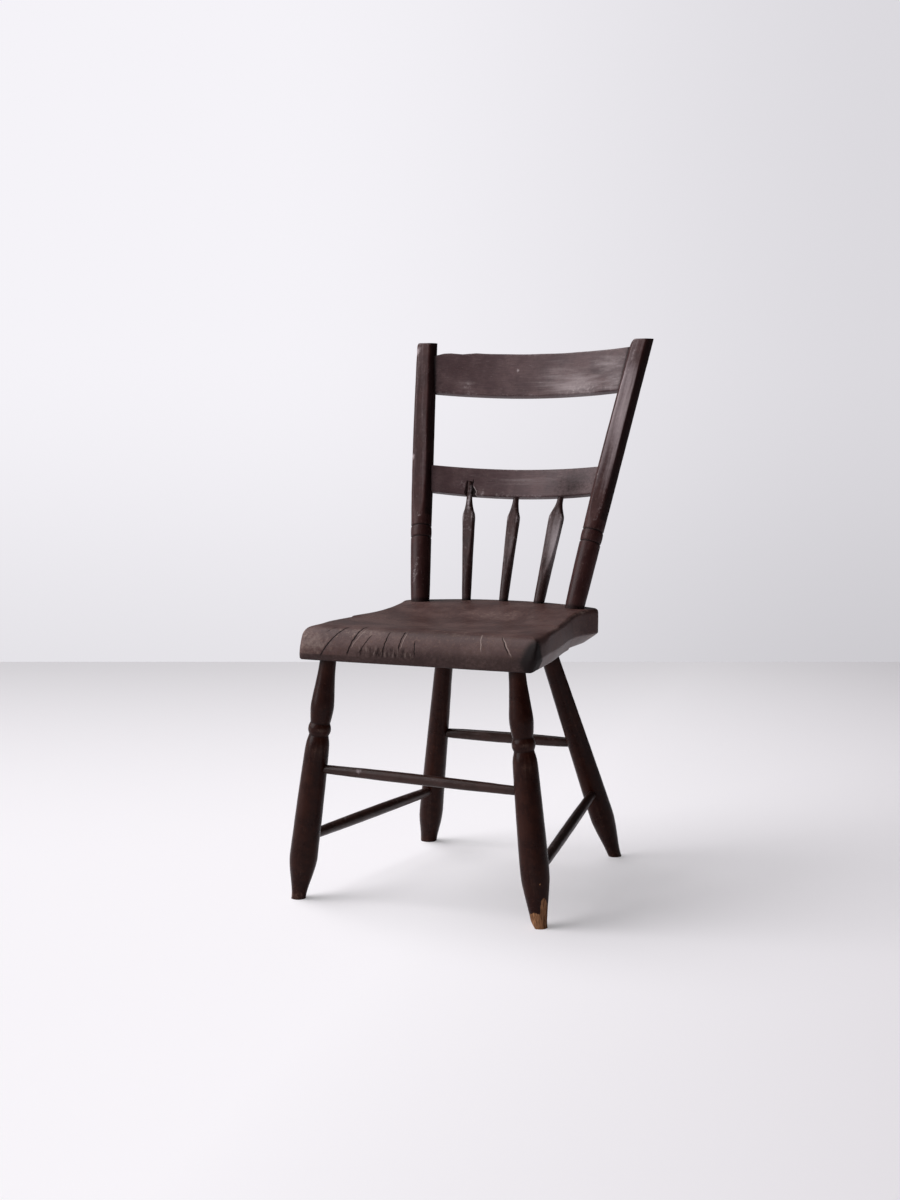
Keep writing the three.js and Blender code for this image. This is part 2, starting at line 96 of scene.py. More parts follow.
FRONT_LEG_IN, FRONT_LEG_BACK, REAR_LEG_IN, REAR_LEG_FORWARD = 39.3, 28.0, 85.0, 62.4
POST_IN, POST_FORWARD, SPINDLE_PITCH, SPINDLE_SHIFT, SPINDLE_FORWARD = 36.2, 23.0, 64.7, 2.3, 20.0
low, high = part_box("seat")
SHIFT = Vector(((low.x + high.x) / 2 / MM, high.y / MM - SEAT_REAR, 0.0))
print("from chair sizes to the frame, mm:", [round(v, 2) for v in SHIFT])

# %% [markdown]
# ## Small helpers
# `spline` draws the same smooth curve through points that the CAD model draws. `step` rises smoothly from 0
# to 1 and `bell` is 1 at one place; they say where something begins or lies. `rumple` is soft noise in
# millimetres, for the unevenness of hand work and of eighty years of use. `shape` turns arrays into a mesh
# object that stands in for a CAD node: it sets the slot, the body and the per-point attributes that the
# paint reads. `grain` runs along the wood, so brush marks follow each piece however it stands.

# %% A smooth curve through points
def spline(points, steps):
    points = np.array(points, float)
    last = len(points) - 1
    curve = []
    for t in np.linspace(0, last, steps + 1):
        i = min(int(t), last - 1)
        w = t - i
        p0, p1, p2, p3 = (points[min(max(k, 0), last)] for k in (i - 1, i, i + 1, i + 2))
        v0, v1 = (p2 - p0) / 2, (p3 - p1) / 2
        cubic, square = 2 * p1 - 2 * p2 + v0 + v1, 3 * p2 - 3 * p1 - 2 * v0 - v1
        curve.append(cubic * w**3 + square * w**2 + v0 * w + p1)
    return np.array(curve)


def step(value, start, end):
    """0 up to start, 1 from end on, and smooth between."""
    t = np.clip((value - start) / (end - start), 0, 1)
    return t * t * (3 - 2 * t)


def bell(value, at, reach):
    """1 at one value, and falling off on both sides."""
    return np.exp(-((value - at) / reach) ** 2)


print("spline test:", spline([(0, 0), (1, 1), (2, 0)], 4).round(2).tolist())


# %% Soft noise in millimetres, from -1 to 1
def rumple(points, size, seed):
    q = np.asarray(points, float) / size + seed * 17.3
    cell = np.floor(q).astype(np.int64)
    w = q - cell
    w = w * w * (3 - 2 * w)
    total = np.zeros(len(q))
    for corner in range(8):
        bits = np.array([corner & 1, corner >> 1 & 1, corner >> 2 & 1])
        at = cell + bits
        mixed = (at[:, 0] * 73856093) ^ (at[:, 1] * 19349663) ^ (at[:, 2] * 83492791) ^ (seed * 2654435)
        value = np.sin(mixed % 100003 * 12.9898) * 43758.5453
        value = (value - np.floor(value)) * 2 - 1
        total += value * np.prod(np.where(bits, w, 1 - w), axis=1)
    return total


print("noise range:", rumple(np.random.default_rng(1).uniform(0, 90, (500, 3)), 9, 1).round(2).max())

# %% [markdown]
# ## Where the chair is worn, and where light and shade are painted
# Old paint tells where hands, backs and shoes have been. Each mark is a place on the chair in the CAD
# frame, in millimetres, with how far it reaches along each axis. A rub is paint that is polished pale, and in
# a few places a painted highlight; a bloom is a soft chalky haze, and in a few places a painted sheen; grime
# is dirt, shadowed cracks and painted shade; and bare is wood that has lost its paint.

# %% Marks of use, and of painted light and shade, millimetres
MARKS = {
    "seat": [
        ("rub_and_highlight", (-86, -240, 419), (40, 12, 8), 0.30), ("rub_and_highlight", (63, -228, 425), (60, 14, 8), 0.25),
        # The rub at (-182, -240, 402) is a painted highlight on the seat's left front corner.
        ("rub_and_highlight", (30, -15, 425), (70, 40, 12), 0.25), ("rub_and_highlight", (-182, -240, 402), (10, 14, 14), 0.55),
        ("rub_and_highlight", (170, 72, 383), (9, 14, 8), 0.9), ("rub_and_highlight", (166, 40, 431), (5, 9, 5), 0.9),
        # The grime at (193, -254, 400) and at (195, -212, 402) is painted shade in the seat's front right
        # corner.
        ("grime_and_shade", (193, -254, 400), (15, 26, 30), 1.2), ("rub_and_highlight", (-100, -130, 425), (90, 60, 20), 0.20),
        ("grime_and_shade", (195, -212, 402), (10, 38, 24), 0.5), ("grime_and_shade", (150, -240, 420), (44, 16, 12), 0.25),
        ("grime_and_shade", (20, -236, 421), (90, 12, 8), 0.36), ("bloom_and_sheen", (70, 0, 425), (60, 50, 12), 0.18),
        # This bloom is a painted highlight on the left end of the front roll.
        ("bloom_and_sheen", (-165, -262, 404), (26, 16, 20), 0.50),
    ],
    "crest_rail": [
        ("bloom_and_sheen", (82, 226, 796), (46, 30, 20), 0.62), ("bloom_and_sheen", (46, 226, 806), (34, 30, 28), 0.34),
        ("bloom_and_sheen", (140, 218, 832), (30, 30, 18), 0.42), ("bloom_and_sheen", (158, 214, 800), (22, 30, 18), 0.45),
        ("rub_and_highlight", (106, 226, 790), (34, 30, 9), 0.36), ("rub_and_highlight", (79, 222, 788), (6, 20, 4), 0.5),
        ("grime_and_shade", (118, 226, 817), (24, 20, 6), 0.42), ("bloom_and_sheen", (-110, 220, 797), (12, 14, 16), 0.24),
        ("rub_and_highlight", (-110, 220, 792), (8, 14, 12), 0.3),
        ("rub_and_highlight", (-60, 240, 855), (70, 30, 7), 0.30), ("rub_and_highlight", (-25.4, 238.5, 821.2), (2.2, 12, 2.2), 1.1),
        ("grime_and_shade", (-182, 205, 810), (22, 30, 60), 0.35),
    ],
    "lower_back_rail": [
        ("rub_and_highlight", (-58, 156, 613), (4, 14, 6), 0.6), ("rub_and_highlight", (-95, 156, 628), (12, 14, 8), 0.3),
        ("bloom_and_sheen", (20, 160, 636), (70, 20, 12), 0.22), ("bloom_and_sheen", (60, 156, 622), (26, 20, 10), 0.10),
        ("rub_and_highlight", (-30, 160, 612), (40, 14, 5), 0.1), ("grime_and_shade", (146, 140, 630), (12, 20, 40), 0.35),
        ("grime_and_shade", (100, 150, 628), (40, 24, 30), 0.58),
    ],
    "left_back_post": [
        ("rub_and_highlight", (-208, 222, 856), (6, 14, 8), 0.9), ("rub_and_highlight", (-183, 145, 674), (4, 8, 5), 1.0),
        ("rub_and_highlight", (-147, 74, 480), (4, 10, 26), 0.45),
    ],
    "right_back_post": [("rub_and_highlight", (176, 170, 735), (5, 12, 20), 0.15)],
    # On the left spindle's tenon, seen through the burst, these rubs are a painted highlight.
    "left_arrow_spindle": [("rub_and_highlight", (-80, 150, 603), (2.4, 10, 14), 0.8),
                           ("rub_and_highlight", (-79, 154, 622), (2.2, 10, 8), 0.8)],
    "middle_arrow_spindle": [("bloom_and_sheen", (-2, 130, 560), (12, 14, 50), 0.38)],
    "right_arrow_spindle": [("bloom_and_sheen", (82, 124, 568), (14, 16, 60), 1.05)],
    "front_left_leg": [
        ("rub_and_highlight", (-173, -249, 273), (10, 12, 3), 0.3),
        ("rub_and_highlight", (-204, -238, 6), (10, 14, 7), 0.5),
    ],
    "front_stretcher": [("rub_and_highlight", (-96, -243, 207), (3.5, 6, 4), 0.9)],
    "front_right_leg": [
        ("bare", (194, -254, 8), (13, 24, 15), 1.25), ("bare", (206, -252, 14), (6, 14, 34), 1.05),
        # The grime at (209, -246, 12) is painted shade on the right side of the bare toe.
        ("bare", (201, -256, 68), (2.0, 6, 2.6), 0.62), ("grime_and_shade", (209, -246, 12), (4, 14, 22), 0.6),
    ],
}
SCRATCHES = {  # from, to, width, all in millimetres, and strength
    "seat": [
        ("rub_and_highlight", (12, -20, 424), (42, 30, 426), 1.6, 0.55),
        ("rub_and_highlight", (-30, -34, 424), (22, -42, 424), 1.8, 0.35),
        ("rub_and_highlight", (-150, -170, 425), (-96, -128, 425), 1.8, 0.35),
    ],
    "right_back_post": [
        ("grime_and_shade", (174, 214, 848), (166, 195, 795), 1.3, 0.9),
        ("rub_and_highlight", (189, 217, 851), (181, 196, 797), 1.6, 0.6),
        ("rub_and_highlight", (181, 196, 797), (176, 176, 740), 1.6, 0.35),
    ],
}
print("marks:", {name: len(marks) for name, marks in MARKS.items()}, "scratches:",
      sum(map(len, SCRATCHES.values())))


# %% A mesh that stands in for a CAD node
def worn(name, points, kind):
    amount = np.zeros(len(points))
    for mark, place, reach, strength in MARKS.get(name, []):
        if mark == kind:
            away = np.linalg.norm((points - np.array(place)) / np.array(reach), axis=1)
            amount = np.maximum(amount, strength * np.exp(-0.8 * away**2))
    for mark, start, end, width, strength in SCRATCHES.get(name, []):
        if mark == kind:
            start, run = np.array(start, float), np.subtract(end, start).astype(float)
            share = np.clip((points - start) @ run / (run @ run), 0, 1)
            away = np.linalg.norm(points - start - share[:, None] * run, axis=1)
            amount = np.maximum(amount, strength * np.exp(-(away / width) ** 2))
    return amount


def shape(name, points, faces, grain, rub_and_highlight, grime_and_shade, bloom_and_sheen=0.0, material=None):
    mesh = bpy.data.meshes.new(name)
    mesh.from_pydata((np.asarray(points) * MM).tolist(), [], [list(map(int, f)) for f in faces])
    mesh.update()
    mesh.shade_smooth()
    place = mesh.attributes.new("grain", "FLOAT_VECTOR", "POINT")
    place.data.foreach_set("vector", (np.asarray(grain) * MM).astype(np.float32).ravel())
    for key, values in (("rub_and_highlight", rub_and_highlight), ("grime_and_shade", grime_and_shade), ("bare", 0.0), ("bloom_and_sheen", bloom_and_sheen)):
        values = np.clip(values + worn(name, points, key), 0, 1.3)
        mesh.attributes.new(key, "FLOAT", "POINT").data.foreach_set("value", values.astype(np.float32))
    piece = bpy.data.objects.new(name + "_worn", mesh)
    bpy.context.scene.collection.objects.link(piece)
    mesh.materials.append(material)
    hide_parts(name)
    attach(piece, "root")
    print(name, len(points), "points,", sum(len(f) - 2 for f in faces), "triangles")
    return piece


# %% [markdown]
# ## Old oil paint on beech
# The finish is brush-applied oil paint, dark red-brown, decades old. It could be a picture, but a picture
# would stretch; here it is worked out at each point. Large soft noise mixes the faded and the fresh brown,
# noise that is stretched along the grain gives brush marks and scratches, and the four attributes decide
# where it is polished pale, hazy, dirty, or gone, and where a painted highlight, sheen or shade lies.
# Where it is gone, bare beech shows, a little lower.

# %% Colours, and one way to add a node
def paint_mix(code):
    """An sRGB hex colour as the linear colour that a shader wants."""
    parts = [int(code[i:i + 2], 16) / 255 for i in (1, 3, 5)]
    return (*[c / 12.92 if c <= 0.04045 else ((c + 0.055) / 1.055) ** 2.4 for c in parts], 1.0)


def add(tree, kind, settings=None, out=0, **links):
    """One node: its settings, then its sockets, each given a value or another node's output. What comes
    back is one output, or all of them. A kind with no Node in its name is a shader node."""
    node = tree.nodes.new(kind if "Node" in kind else "ShaderNode" + kind)
    for key, value in (settings or {}).items():
        setattr(node, key, value)
    for key, value in links.items():
        at = int(key[1:]) if key[1:].isdigit() else key.replace("_", " ")
        socket = node.inputs[at]
        if isinstance(value, bpy.types.NodeSocket):
            tree.links.new(value, socket)
        else:
            socket.default_value = value
    return node.outputs[out] if out != "all" and node.outputs else node.outputs


SMOOTH = {"interpolation_type": "SMOOTHSTEP"}
TIMES, TIMES_ADD = {"operation": "MULTIPLY"}, {"operation": "MULTIPLY_ADD"}
RGB, SCALE, DOT = {"data_type": "RGBA"}, {"operation": "SCALE"}, {"operation": "DOT_PRODUCT"}


def per(size_mm):
    """A texture's scale for a feature of this size in millimetres."""
    return 1000.0 / size_mm


print("dark paint, linear:", [round(v, 4) for v in paint_mix("#3a2c2e")])


# %% Old paint over beech
def old_paint(name, fresh, faded, pale_wear_and_highlight, warm, patch, gloss, shine, brushed, broken_edge):
    """Brushed oil paint, satin where fresh, chalky where faded, over bare beech."""
    material = bpy.data.materials.new(name)
    material.use_nodes = True
    tree = material.node_tree
    tree.nodes.clear()
    grain = add(tree, "Attribute", {"attribute_name": "grain"}, out="Vector")
    along = add(tree, "VectorMath", TIMES, _0=grain, _1=(1, 1, 0.06))
    rub_and_highlight, grime_and_shade, bare, bloom_and_sheen = (add(tree, "Attribute", {"attribute_name": key}, out="Fac")
                               for key in ("rub_and_highlight", "grime_and_shade", "bare", "bloom_and_sheen"))
    patches, mottle, brush, hairs, streaks, specks, lines = (
        add(tree, "TexNoise", Vector=way, Scale=per(size), Detail=detail, Roughness=rough)
        for way, size, detail, rough in (
            (grain, patch, 4.0, 0.6), (grain, 5.0, 3.0, 0.65), (along, 1.7, 3.0, 0.55),
            (along, 0.9, 1.0, 0.5), (along, 7.0, 3.0, 0.6), (grain, 2.2, 2.0, 0.7), (along, 2.5, 4.0, 0.7)))

    def total(first, *more):
        """The first number, and each of the others times its weight."""
        for value, weight in more:
            first = add(tree, "Math", TIMES_ADD, _0=value, _1=weight, _2=first)
        return first

    def cover(colour, layer, amount, start, end, most=1.0):
        """Lays a layer over a colour where the amount goes from start to end, and gives both."""
        share = add(tree, "MapRange", SMOOTH, _0=amount, _1=start, _2=end, _4=most)
        return add(tree, "Mix", RGB, out=2, _0=share, _6=colour, _7=layer), share

    colour, _ = cover(paint_mix(fresh), paint_mix(faded), patches, 0.40, 0.66)
    colour, _ = cover(colour, paint_mix(warm), mottle, 0.50, 0.72, 0.55)
    streak = add(tree, "MapRange", _0=brush, _1=0.3, _2=0.7, _3=1 - 0.20 * brushed, _4=1 + 0.16 * brushed)
    colour = add(tree, "VectorMath", SCALE, _0=colour, Scale=streak)

    # chalky haze, and painted sheen, in long soft streaks
    haze_and_sheen_amount = total(bloom_and_sheen, (streaks, 0.9), (mottle, 0.25))
    colour, _ = cover(colour, paint_mix(pale_wear_and_highlight), haze_and_sheen_amount, 0.62, 1.50, 0.85)

    # rubbed pale, and painted highlights: that attribute and the mottle together, so its edge is broken
    broken = total(rub_and_highlight, (mottle, 1.3), (specks, 0.5))
    colour, rub_and_highlight_by = cover(colour, paint_mix(pale_wear_and_highlight), broken, 1.08, 1.80, 0.9)
    hair_line = add(tree, "MapRange", _0=hairs, _1=0.70, _2=0.76)
    hair_by = add(tree, "Math", TIMES, _0=hair_line, _1=0.22 * brushed)
    colour = add(tree, "Mix", RGB, out=2, _0=hair_by, _6=colour, _7=paint_mix(pale_wear_and_highlight))

    # dirt in cracks and corners, and painted shade
    colour, dirt_and_shade_by = cover(colour, paint_mix("#0e0707"), total(grime_and_shade, (mottle, 0.5)), 0.35, 1.15, 0.96)

    # bare beech, its grain lines 2.5 mm apart
    beech, _ = cover(paint_mix("#472a18"), paint_mix("#93694a"), lines, 0.32, 0.62)
    colour, gone_by = cover(colour, beech, total(bare, (mottle, 0.55)), 0.74, 0.84)

    cut = None
    if broken_edge:
        colour, cut = broken_edge(tree, colour, pale_wear_and_highlight)

    rough = add(tree, "MapRange", _0=patches, _1=0.3, _2=0.7, _3=gloss - 0.06, _4=gloss + 0.10)
    rough = total(rough, (rub_and_highlight_by, 0.14), (dirt_and_shade_by, 0.35))
    rough = add(tree, "Math", {"operation": "MULTIPLY_ADD", "use_clamp": True}, _0=gone_by, _1=0.3,
                _2=rough)

    # relief: brush ridges, mottled film, and the step down where paint is missing
    relief = add(tree, "Math", TIMES, _0=brush, _1=0.30)
    relief = total(relief, (mottle, 0.55), (hair_line, -0.25), (rub_and_highlight_by, -0.25), (gone_by, -0.9))
    if cut:
        relief, rough = total(relief, (cut, -0.9)), total(rough, (cut, 0.45))
    bump = add(tree, "Bump", Strength=0.4, Distance=0.0009 * brushed, Height=relief)
    shader = add(tree, "BsdfPrincipled", Base_Color=colour, Roughness=rough, Specular_IOR_Level=shine,
                 Normal=bump)
    add(tree, "OutputMaterial", Surface=shader)
    return material


# %% [markdown]
# ## Cracks over the front roll
# Where the seat rolls over the front legs the paint has split with the wood below it, in slanting lines
# about two millimetres wide, and one patch above the lip has flaked. They could be cut into the mesh, but
# they are shallow, so the paint's own tree draws them on two numbers that the seat carries: x, and how far
# over the roll a point lies, from 0 on top to 1 at the lip. A little noise shakes each line.

# %% Cracks and the flaked patch
CRACKS = [  # x at both ends, how far over the roll at both ends, half its width in mm, 1 if it is pale
    (-116.2, -153.8, 0.20, 1.10, 1.7, 0), (-89.4, -108.0, 0.15, 1.03, 1.7, 0),
    (-72.0, -87.9, 0.50, 0.97, 1.2, 0), (-44.5, -50.0, 0.37, 1.06, 1.3, 0),
    (-20.8, -24.2, 0.34, 0.87, 1.4, 0), (0.4, 3.8, 0.62, 0.97, 1.1, 0),
    (-12.0, 8.0, 0.20, 0.10, 0.9, 0), (133.0, 150.0, 0.34, 0.80, 1.0, 0),
    (-136.0, -150.0, 0.24, 0.5, 0.8, 0), (100.2, 107.2, 0.28, 0.76, 1.1, 1),
    (134.6, 154.6, 0.36, 0.84, 1.2, 1), (-118.0, -104.0, 0.20, 0.13, 0.8, 1),
    (-84.0, -101.0, 0.30, 0.85, 0.7, 1), (-17.0, -20.0, 0.40, 0.80, 0.7, 1),
]
FLAKES_FROM, FLAKES_TO, FLAKES_HIGH, FLAKES_LOW = -92.0, 4.0, 0.76, 1.06
CRACK_SHAKE = 3.6  # mm, how far the noise moves a crack from side to side


def split_roll(tree, colour, pale):
    """Draws the cracks and the flaked patch from the attribute `roll`."""
    place = add(tree, "Attribute", {"attribute_name": "roll"}, out="Vector")
    axes = add(tree, "SeparateXYZ", out="all", _0=place)
    stretched = add(tree, "VectorMath", TIMES, _0=place, _1=(150, 9, 1))
    shake = add(tree, "TexNoise", Vector=stretched, Scale=1.0, Detail=2.0)
    x = add(tree, "Math", TIMES_ADD, _0=shake, _1=CRACK_SHAKE * MM, _2=axes[0])
    x = add(tree, "Math", {"operation": "SUBTRACT"}, _0=x, _1=CRACK_SHAKE / 2 * MM)
    lines = {0: None, 1: None}
    for x_from, x_to, start, end, width, kind in CRACKS:
        line = add(tree, "MapRange", _0=axes[1], _1=start, _2=end, _3=x_from * MM, _4=x_to * MM)
        away = add(tree, "Math", {"operation": "SUBTRACT"}, _0=x, _1=line)
        away = add(tree, "Math", {"operation": "ABSOLUTE"}, _0=away)
        near = add(tree, "MapRange", _0=away, _1=width * MM * 0.4, _2=width * MM, _3=1.0, _4=0.0)
        low, high = sorted((start, end))
        begun = add(tree, "MapRange", _0=axes[1], _1=low - 0.03, _2=low + 0.05)
        ended = add(tree, "MapRange", _0=axes[1], _1=high - 0.06, _2=high + 0.03, _3=1.0, _4=0.0)
        near = add(tree, "Math", TIMES, _0=near, _1=begun)
        near = add(tree, "Math", TIMES, _0=near, _1=ended)
        so_far = lines[kind]
        lines[kind] = add(tree, "Math", {"operation": "MAXIMUM"}, _0=so_far, _1=near) if so_far else near

    # the flaked patch just above the lip: jagged dark losses with pale rims
    jagged = add(tree, "VectorMath", TIMES, _0=place, _1=(150, 2.2, 1))
    chips = add(tree, "TexNoise", Vector=jagged, Scale=1.0, Detail=4.0, Roughness=0.7)
    edges = [add(tree, "MapRange", _0=value, _1=at, _2=to) for value, at, to in (
        (axes[0], (FLAKES_FROM - 4) * MM, (FLAKES_FROM + 6) * MM),
        (axes[0], (FLAKES_TO + 5) * MM, (FLAKES_TO - 12) * MM),
        (axes[1], FLAKES_HIGH, FLAKES_HIGH + 0.10), (axes[1], FLAKES_LOW, FLAKES_LOW - 0.07))]
    patch = edges[0]
    for edge in edges[1:]:
        patch = add(tree, "Math", TIMES, _0=patch, _1=edge)
    lost = add(tree, "MapRange", SMOOTH, _0=chips, _1=0.51, _2=0.60, _4=0.62)
    lost = add(tree, "Math", TIMES, _0=lost, _1=patch)
    rim = add(tree, "MapRange", SMOOTH, _0=chips, _1=0.46, _2=0.38, _4=0.3)
    rim = add(tree, "Math", TIMES, _0=rim, _1=patch)
    cut = add(tree, "Math", {"operation": "MAXIMUM"}, _0=lines[0], _1=lost)
    light = add(tree, "Math", TIMES, _0=lines[1], _1=0.75)
    light = add(tree, "Math", {"operation": "MAXIMUM"}, _0=light, _1=rim)
    colour = add(tree, "Mix", RGB, out=2, _0=light, _6=colour, _7=paint_mix(pale))
    deep = add(tree, "Math", TIMES, _0=cut, _1=0.97)
    return add(tree, "Mix", RGB, out=2, _0=deep, _6=colour, _7=paint_mix("#120a09")), cut


print("cracks:", len(CRACKS))

# %% The finishes
# All is one brushed oil paint: on seat and boards dull and greyed, on the legs darker and smoother, so that
# they keep a narrow pale glint along their turned sides.
FINISHES = {  # fresh, faded, pale for rubs, haze and painted highlights, and warm, then mm across a patch, roughness, shine and brush marks
    "plank_seat": ("#452e2b", "#5a4440", "#8a7870", "#624438", 60, 0.42, 0.19, 1.0),
    "bent_boards": ("#473435", "#574343", "#9a8c8b", "#43302c", 45, 0.42, 0.20, 1.0),
    "back_posts": ("#311a19", "#3d2422", "#998b8c", "#3b231c", 30, 0.36, 0.12, 0.6),
    "turned_legs": ("#200b07", "#2c130c", "#6a5248", "#32170e", 30, 0.29, 0.10, 0.35),
    "stretchers": ("#28150f", "#351f1a", "#857879", "#33201a", 34, 0.34, 0.24, 0.5),
    "arrow_spindles": ("#321f1d", "#402b29", "#a59a9b", "#3a251f", 24, 0.42, 0.18, 1.0),
}
PAINT = {name: old_paint("oil_paint_on_" + name, *looks, split_roll if name == "plank_seat" else None)
         for name, looks in FINISHES.items()}
print("finishes:", [m.name for m in bpy.data.materials if m.name.startswith("oil")])

# %% [markdown]
# ## The seat
# The real seat is one thick plank: bandsawn to a waisted outline, its top scooped into a saddle, its front
# edge rolled over for the legs, its underside edge chamfered to look thin. It could be pushed and pulled
# from a box, but every one of those cuts is a rule, so the seat is written as the rules themselves: a
# number for each point in space, below zero inside the wood. Where two cuts meet they are blended, as
# sandpaper and sitting do. A net of quads is then drawn where the number is zero.

# %% The seat's outline
def rear_edge(x):
    return SEAT_REAR - REAR_BOW * (x / REAR_HALF) ** 2


corner_y = rear_edge(REAR_HALF)
front_y = SEAT_FRONT - BEVEL_INSET
turn = np.linspace(-math.pi / 2, 0, 16)
front_arc = np.stack([FRONT_HALF - FRONT_CORNER + FRONT_CORNER * np.cos(turn),
                      front_y + FRONT_CORNER + FRONT_CORNER * np.sin(turn)], 1)
side_line = spline([(FRONT_HALF, front_y + FRONT_CORNER),
                    ((FRONT_HALF + WAIST_HALF) / 2 + 4, SEAT_FRONT + 128),
                    (WAIST_HALF, SEAT_REAR - WAIST_FROM_REAR), (REAR_HALF, corner_y - REAR_CORNER)], 48)
s = np.linspace(0, 1, 12)[:, None]
inner_x = REAR_HALF - REAR_CORNER
rear_arc = ((1 - s) ** 2 * side_line[-1] + 2 * s * (1 - s) * np.array([REAR_HALF + 1, corner_y])
            + s**2 * np.array([inner_x, rear_edge(inner_x)]))
rear_xs = np.linspace(inner_x, 0, 24)[1:]
half_outline = np.concatenate([front_arc, side_line[1:], rear_arc[1:],
                               np.stack([rear_xs, rear_edge(rear_xs)], 1)])
outline = np.concatenate([half_outline, (half_outline * [-1, 1])[::-1][1:]])
print("outline points:", len(outline), "width", outline[:, 0].max() * 2)


# %% How far a point of the plan is outside the outline
def outside(outline, gx, gy):
    """How far points of a plane are outside a closed outline, below zero inside it."""
    a, b = outline, np.roll(outline, -1, 0)
    best = np.full(len(gx), 1e9)
    inside = np.zeros(len(gx), bool)
    for (ax, ay), (bx, by) in zip(a, b):
        dx, dy = bx - ax, by - ay
        t = np.clip(((gx - ax) * dx + (gy - ay) * dy) / (dx * dx + dy * dy + 1e-12), 0, 1)
        best = np.minimum(best, np.hypot(gx - ax - t * dx, gy - ay - t * dy))
        if abs(dy) > 1e-9:
            inside ^= ((ay > gy) != (by > gy)) & (gx < ax + (gy - ay) / dy * dx)
    return np.where(inside, -best, best)


plan_xs, plan_ys = np.arange(-215.0, 216), np.arange(SEAT_FRONT - 25, SEAT_REAR + 16)
plan_grid = np.meshgrid(plan_xs, plan_ys, indexing="ij")
plan = outside(outline, *(g.ravel() for g in plan_grid)).reshape(plan_grid[0].shape)


def outside_plan(x, y):
    u = np.clip((x - plan_xs[0]) / (plan_xs[1] - plan_xs[0]), 0, len(plan_xs) - 1.001)
    v = np.clip((y - plan_ys[0]) / (plan_ys[1] - plan_ys[0]), 0, len(plan_ys) - 1.001)
    i, j = u.astype(int), v.astype(int)
    u, v = u - i, v - j
    return (plan[i, j] * (1 - u) * (1 - v) + plan[i + 1, j] * u * (1 - v)
            + plan[i, j + 1] * (1 - u) * v + plan[i + 1, j + 1] * u * v)


print("deepest inside, mm:", plan.min().round(1))

# %% The seat's cuts, blended
def blend_cuts(a, b, reach):
    h = np.maximum(reach - np.abs(a - b), 0) / reach
    return np.maximum(a, b) + h * h * reach / 4


def seat_top(x, y):
    rise = step(y, SEAT_REAR - 204, SEAT_REAR - 74)
    across = 1 - np.minimum(1, (x / REAR_HALF) ** 2)
    along = step(y, SEAT_FRONT + 34, SEAT_FRONT + 118) * (1 - step(y, SEAT_REAR - 184, SEAT_REAR - 69))
    return (EDGE_FRONT + (EDGE_REAR - EDGE_FRONT) * rise + REAR_CROWN * rise * across
            - DISH * along * across**1.5)


def oval(u, v, a, b):
    """Rough distance outside an oval with half sizes a and b."""
    e = np.hypot(u / a, v / b)
    steep = np.hypot(u / a**2, v / b**2) / np.maximum(e, 1e-9)
    return (e - 1) / np.maximum(steep, 1 / max(a, b))


def seat_cuts(p):
    x, y, z = p.T
    low = np.clip(1 - z / BEVEL_HEIGHT, 0, 1)
    half = np.interp(y, side_line[:, 1], side_line[:, 0])
    under_half = UNDER_REAR_HALF + np.maximum(0, SEAT_REAR - WAIST_FROM_REAR - y)
    square_end = step(-x, 110, 160) * step(-y, 40, 140)
    cut_back = BEVEL_INSET * low * (1 - square_end) + LEFT_END_LEAN * step(z, 8, 36) * square_end
    wall = np.maximum(outside_plan(x, y) + cut_back,
                      np.abs(x) - half + np.maximum(half - under_half, 0) * low)
    over = oval(np.minimum(y - SEAT_FRONT - ROLL_DEPTH, 0), np.maximum(z - ROLL_LIP, 0), ROLL_DEPTH,
                ROLL_HEIGHT)
    under = oval(np.minimum(y - SEAT_FRONT - ROLL_TUCK, 0), np.minimum(z - ROLL_LIP, 0), ROLL_TUCK,
                 ROLL_LIP)
    roll = np.where(z >= ROLL_LIP, over, under)
    roll = np.where((y > SEAT_FRONT + ROLL_DEPTH) | ((z < ROLL_LIP) & (y > SEAT_FRONT + ROLL_TUCK)), -9.0,
                    roll)
    top = z - seat_top(x, y)
    away = 24 * step(y, SEAT_FRONT + 50, SEAT_FRONT + 150)
    ease = oval(np.maximum(np.abs(x) - (FRONT_HALF - EASE_WIDTH) - away, 0),
                np.maximum(z - (EDGE_FRONT - EASE_HEIGHT), 0), EASE_WIDTH, EASE_HEIGHT)
    ease = np.where(y < SEAT_FRONT + 150, ease, -9.0)
    return wall, np.maximum(roll, ease), top


def seat_shape(p):
    wall, roll, top = seat_cuts(p)
    f = blend_cuts(blend_cuts(wall, roll, 5.0), top, 7.0)
    f = blend_cuts(f, -p[:, 2], 1.5)
    chip = oval(p[:, 0] - CHIP_X, np.hypot(p[:, 1] - CHIP_Y, p[:, 2] - CHIP_HEIGHT), CHIP_REACH,
                CHIP_LENGTH)
    f = blend_cuts(f, -chip, 1.0)
    return f + 0.12 * (1 + rumple(p, 42, 3)) + 0.05 * rumple(p, 11, 4)


print("seat centre is inside:", bool(seat_shape(np.array([[0.0, 0.0, 25.0]]))[0] < 0))


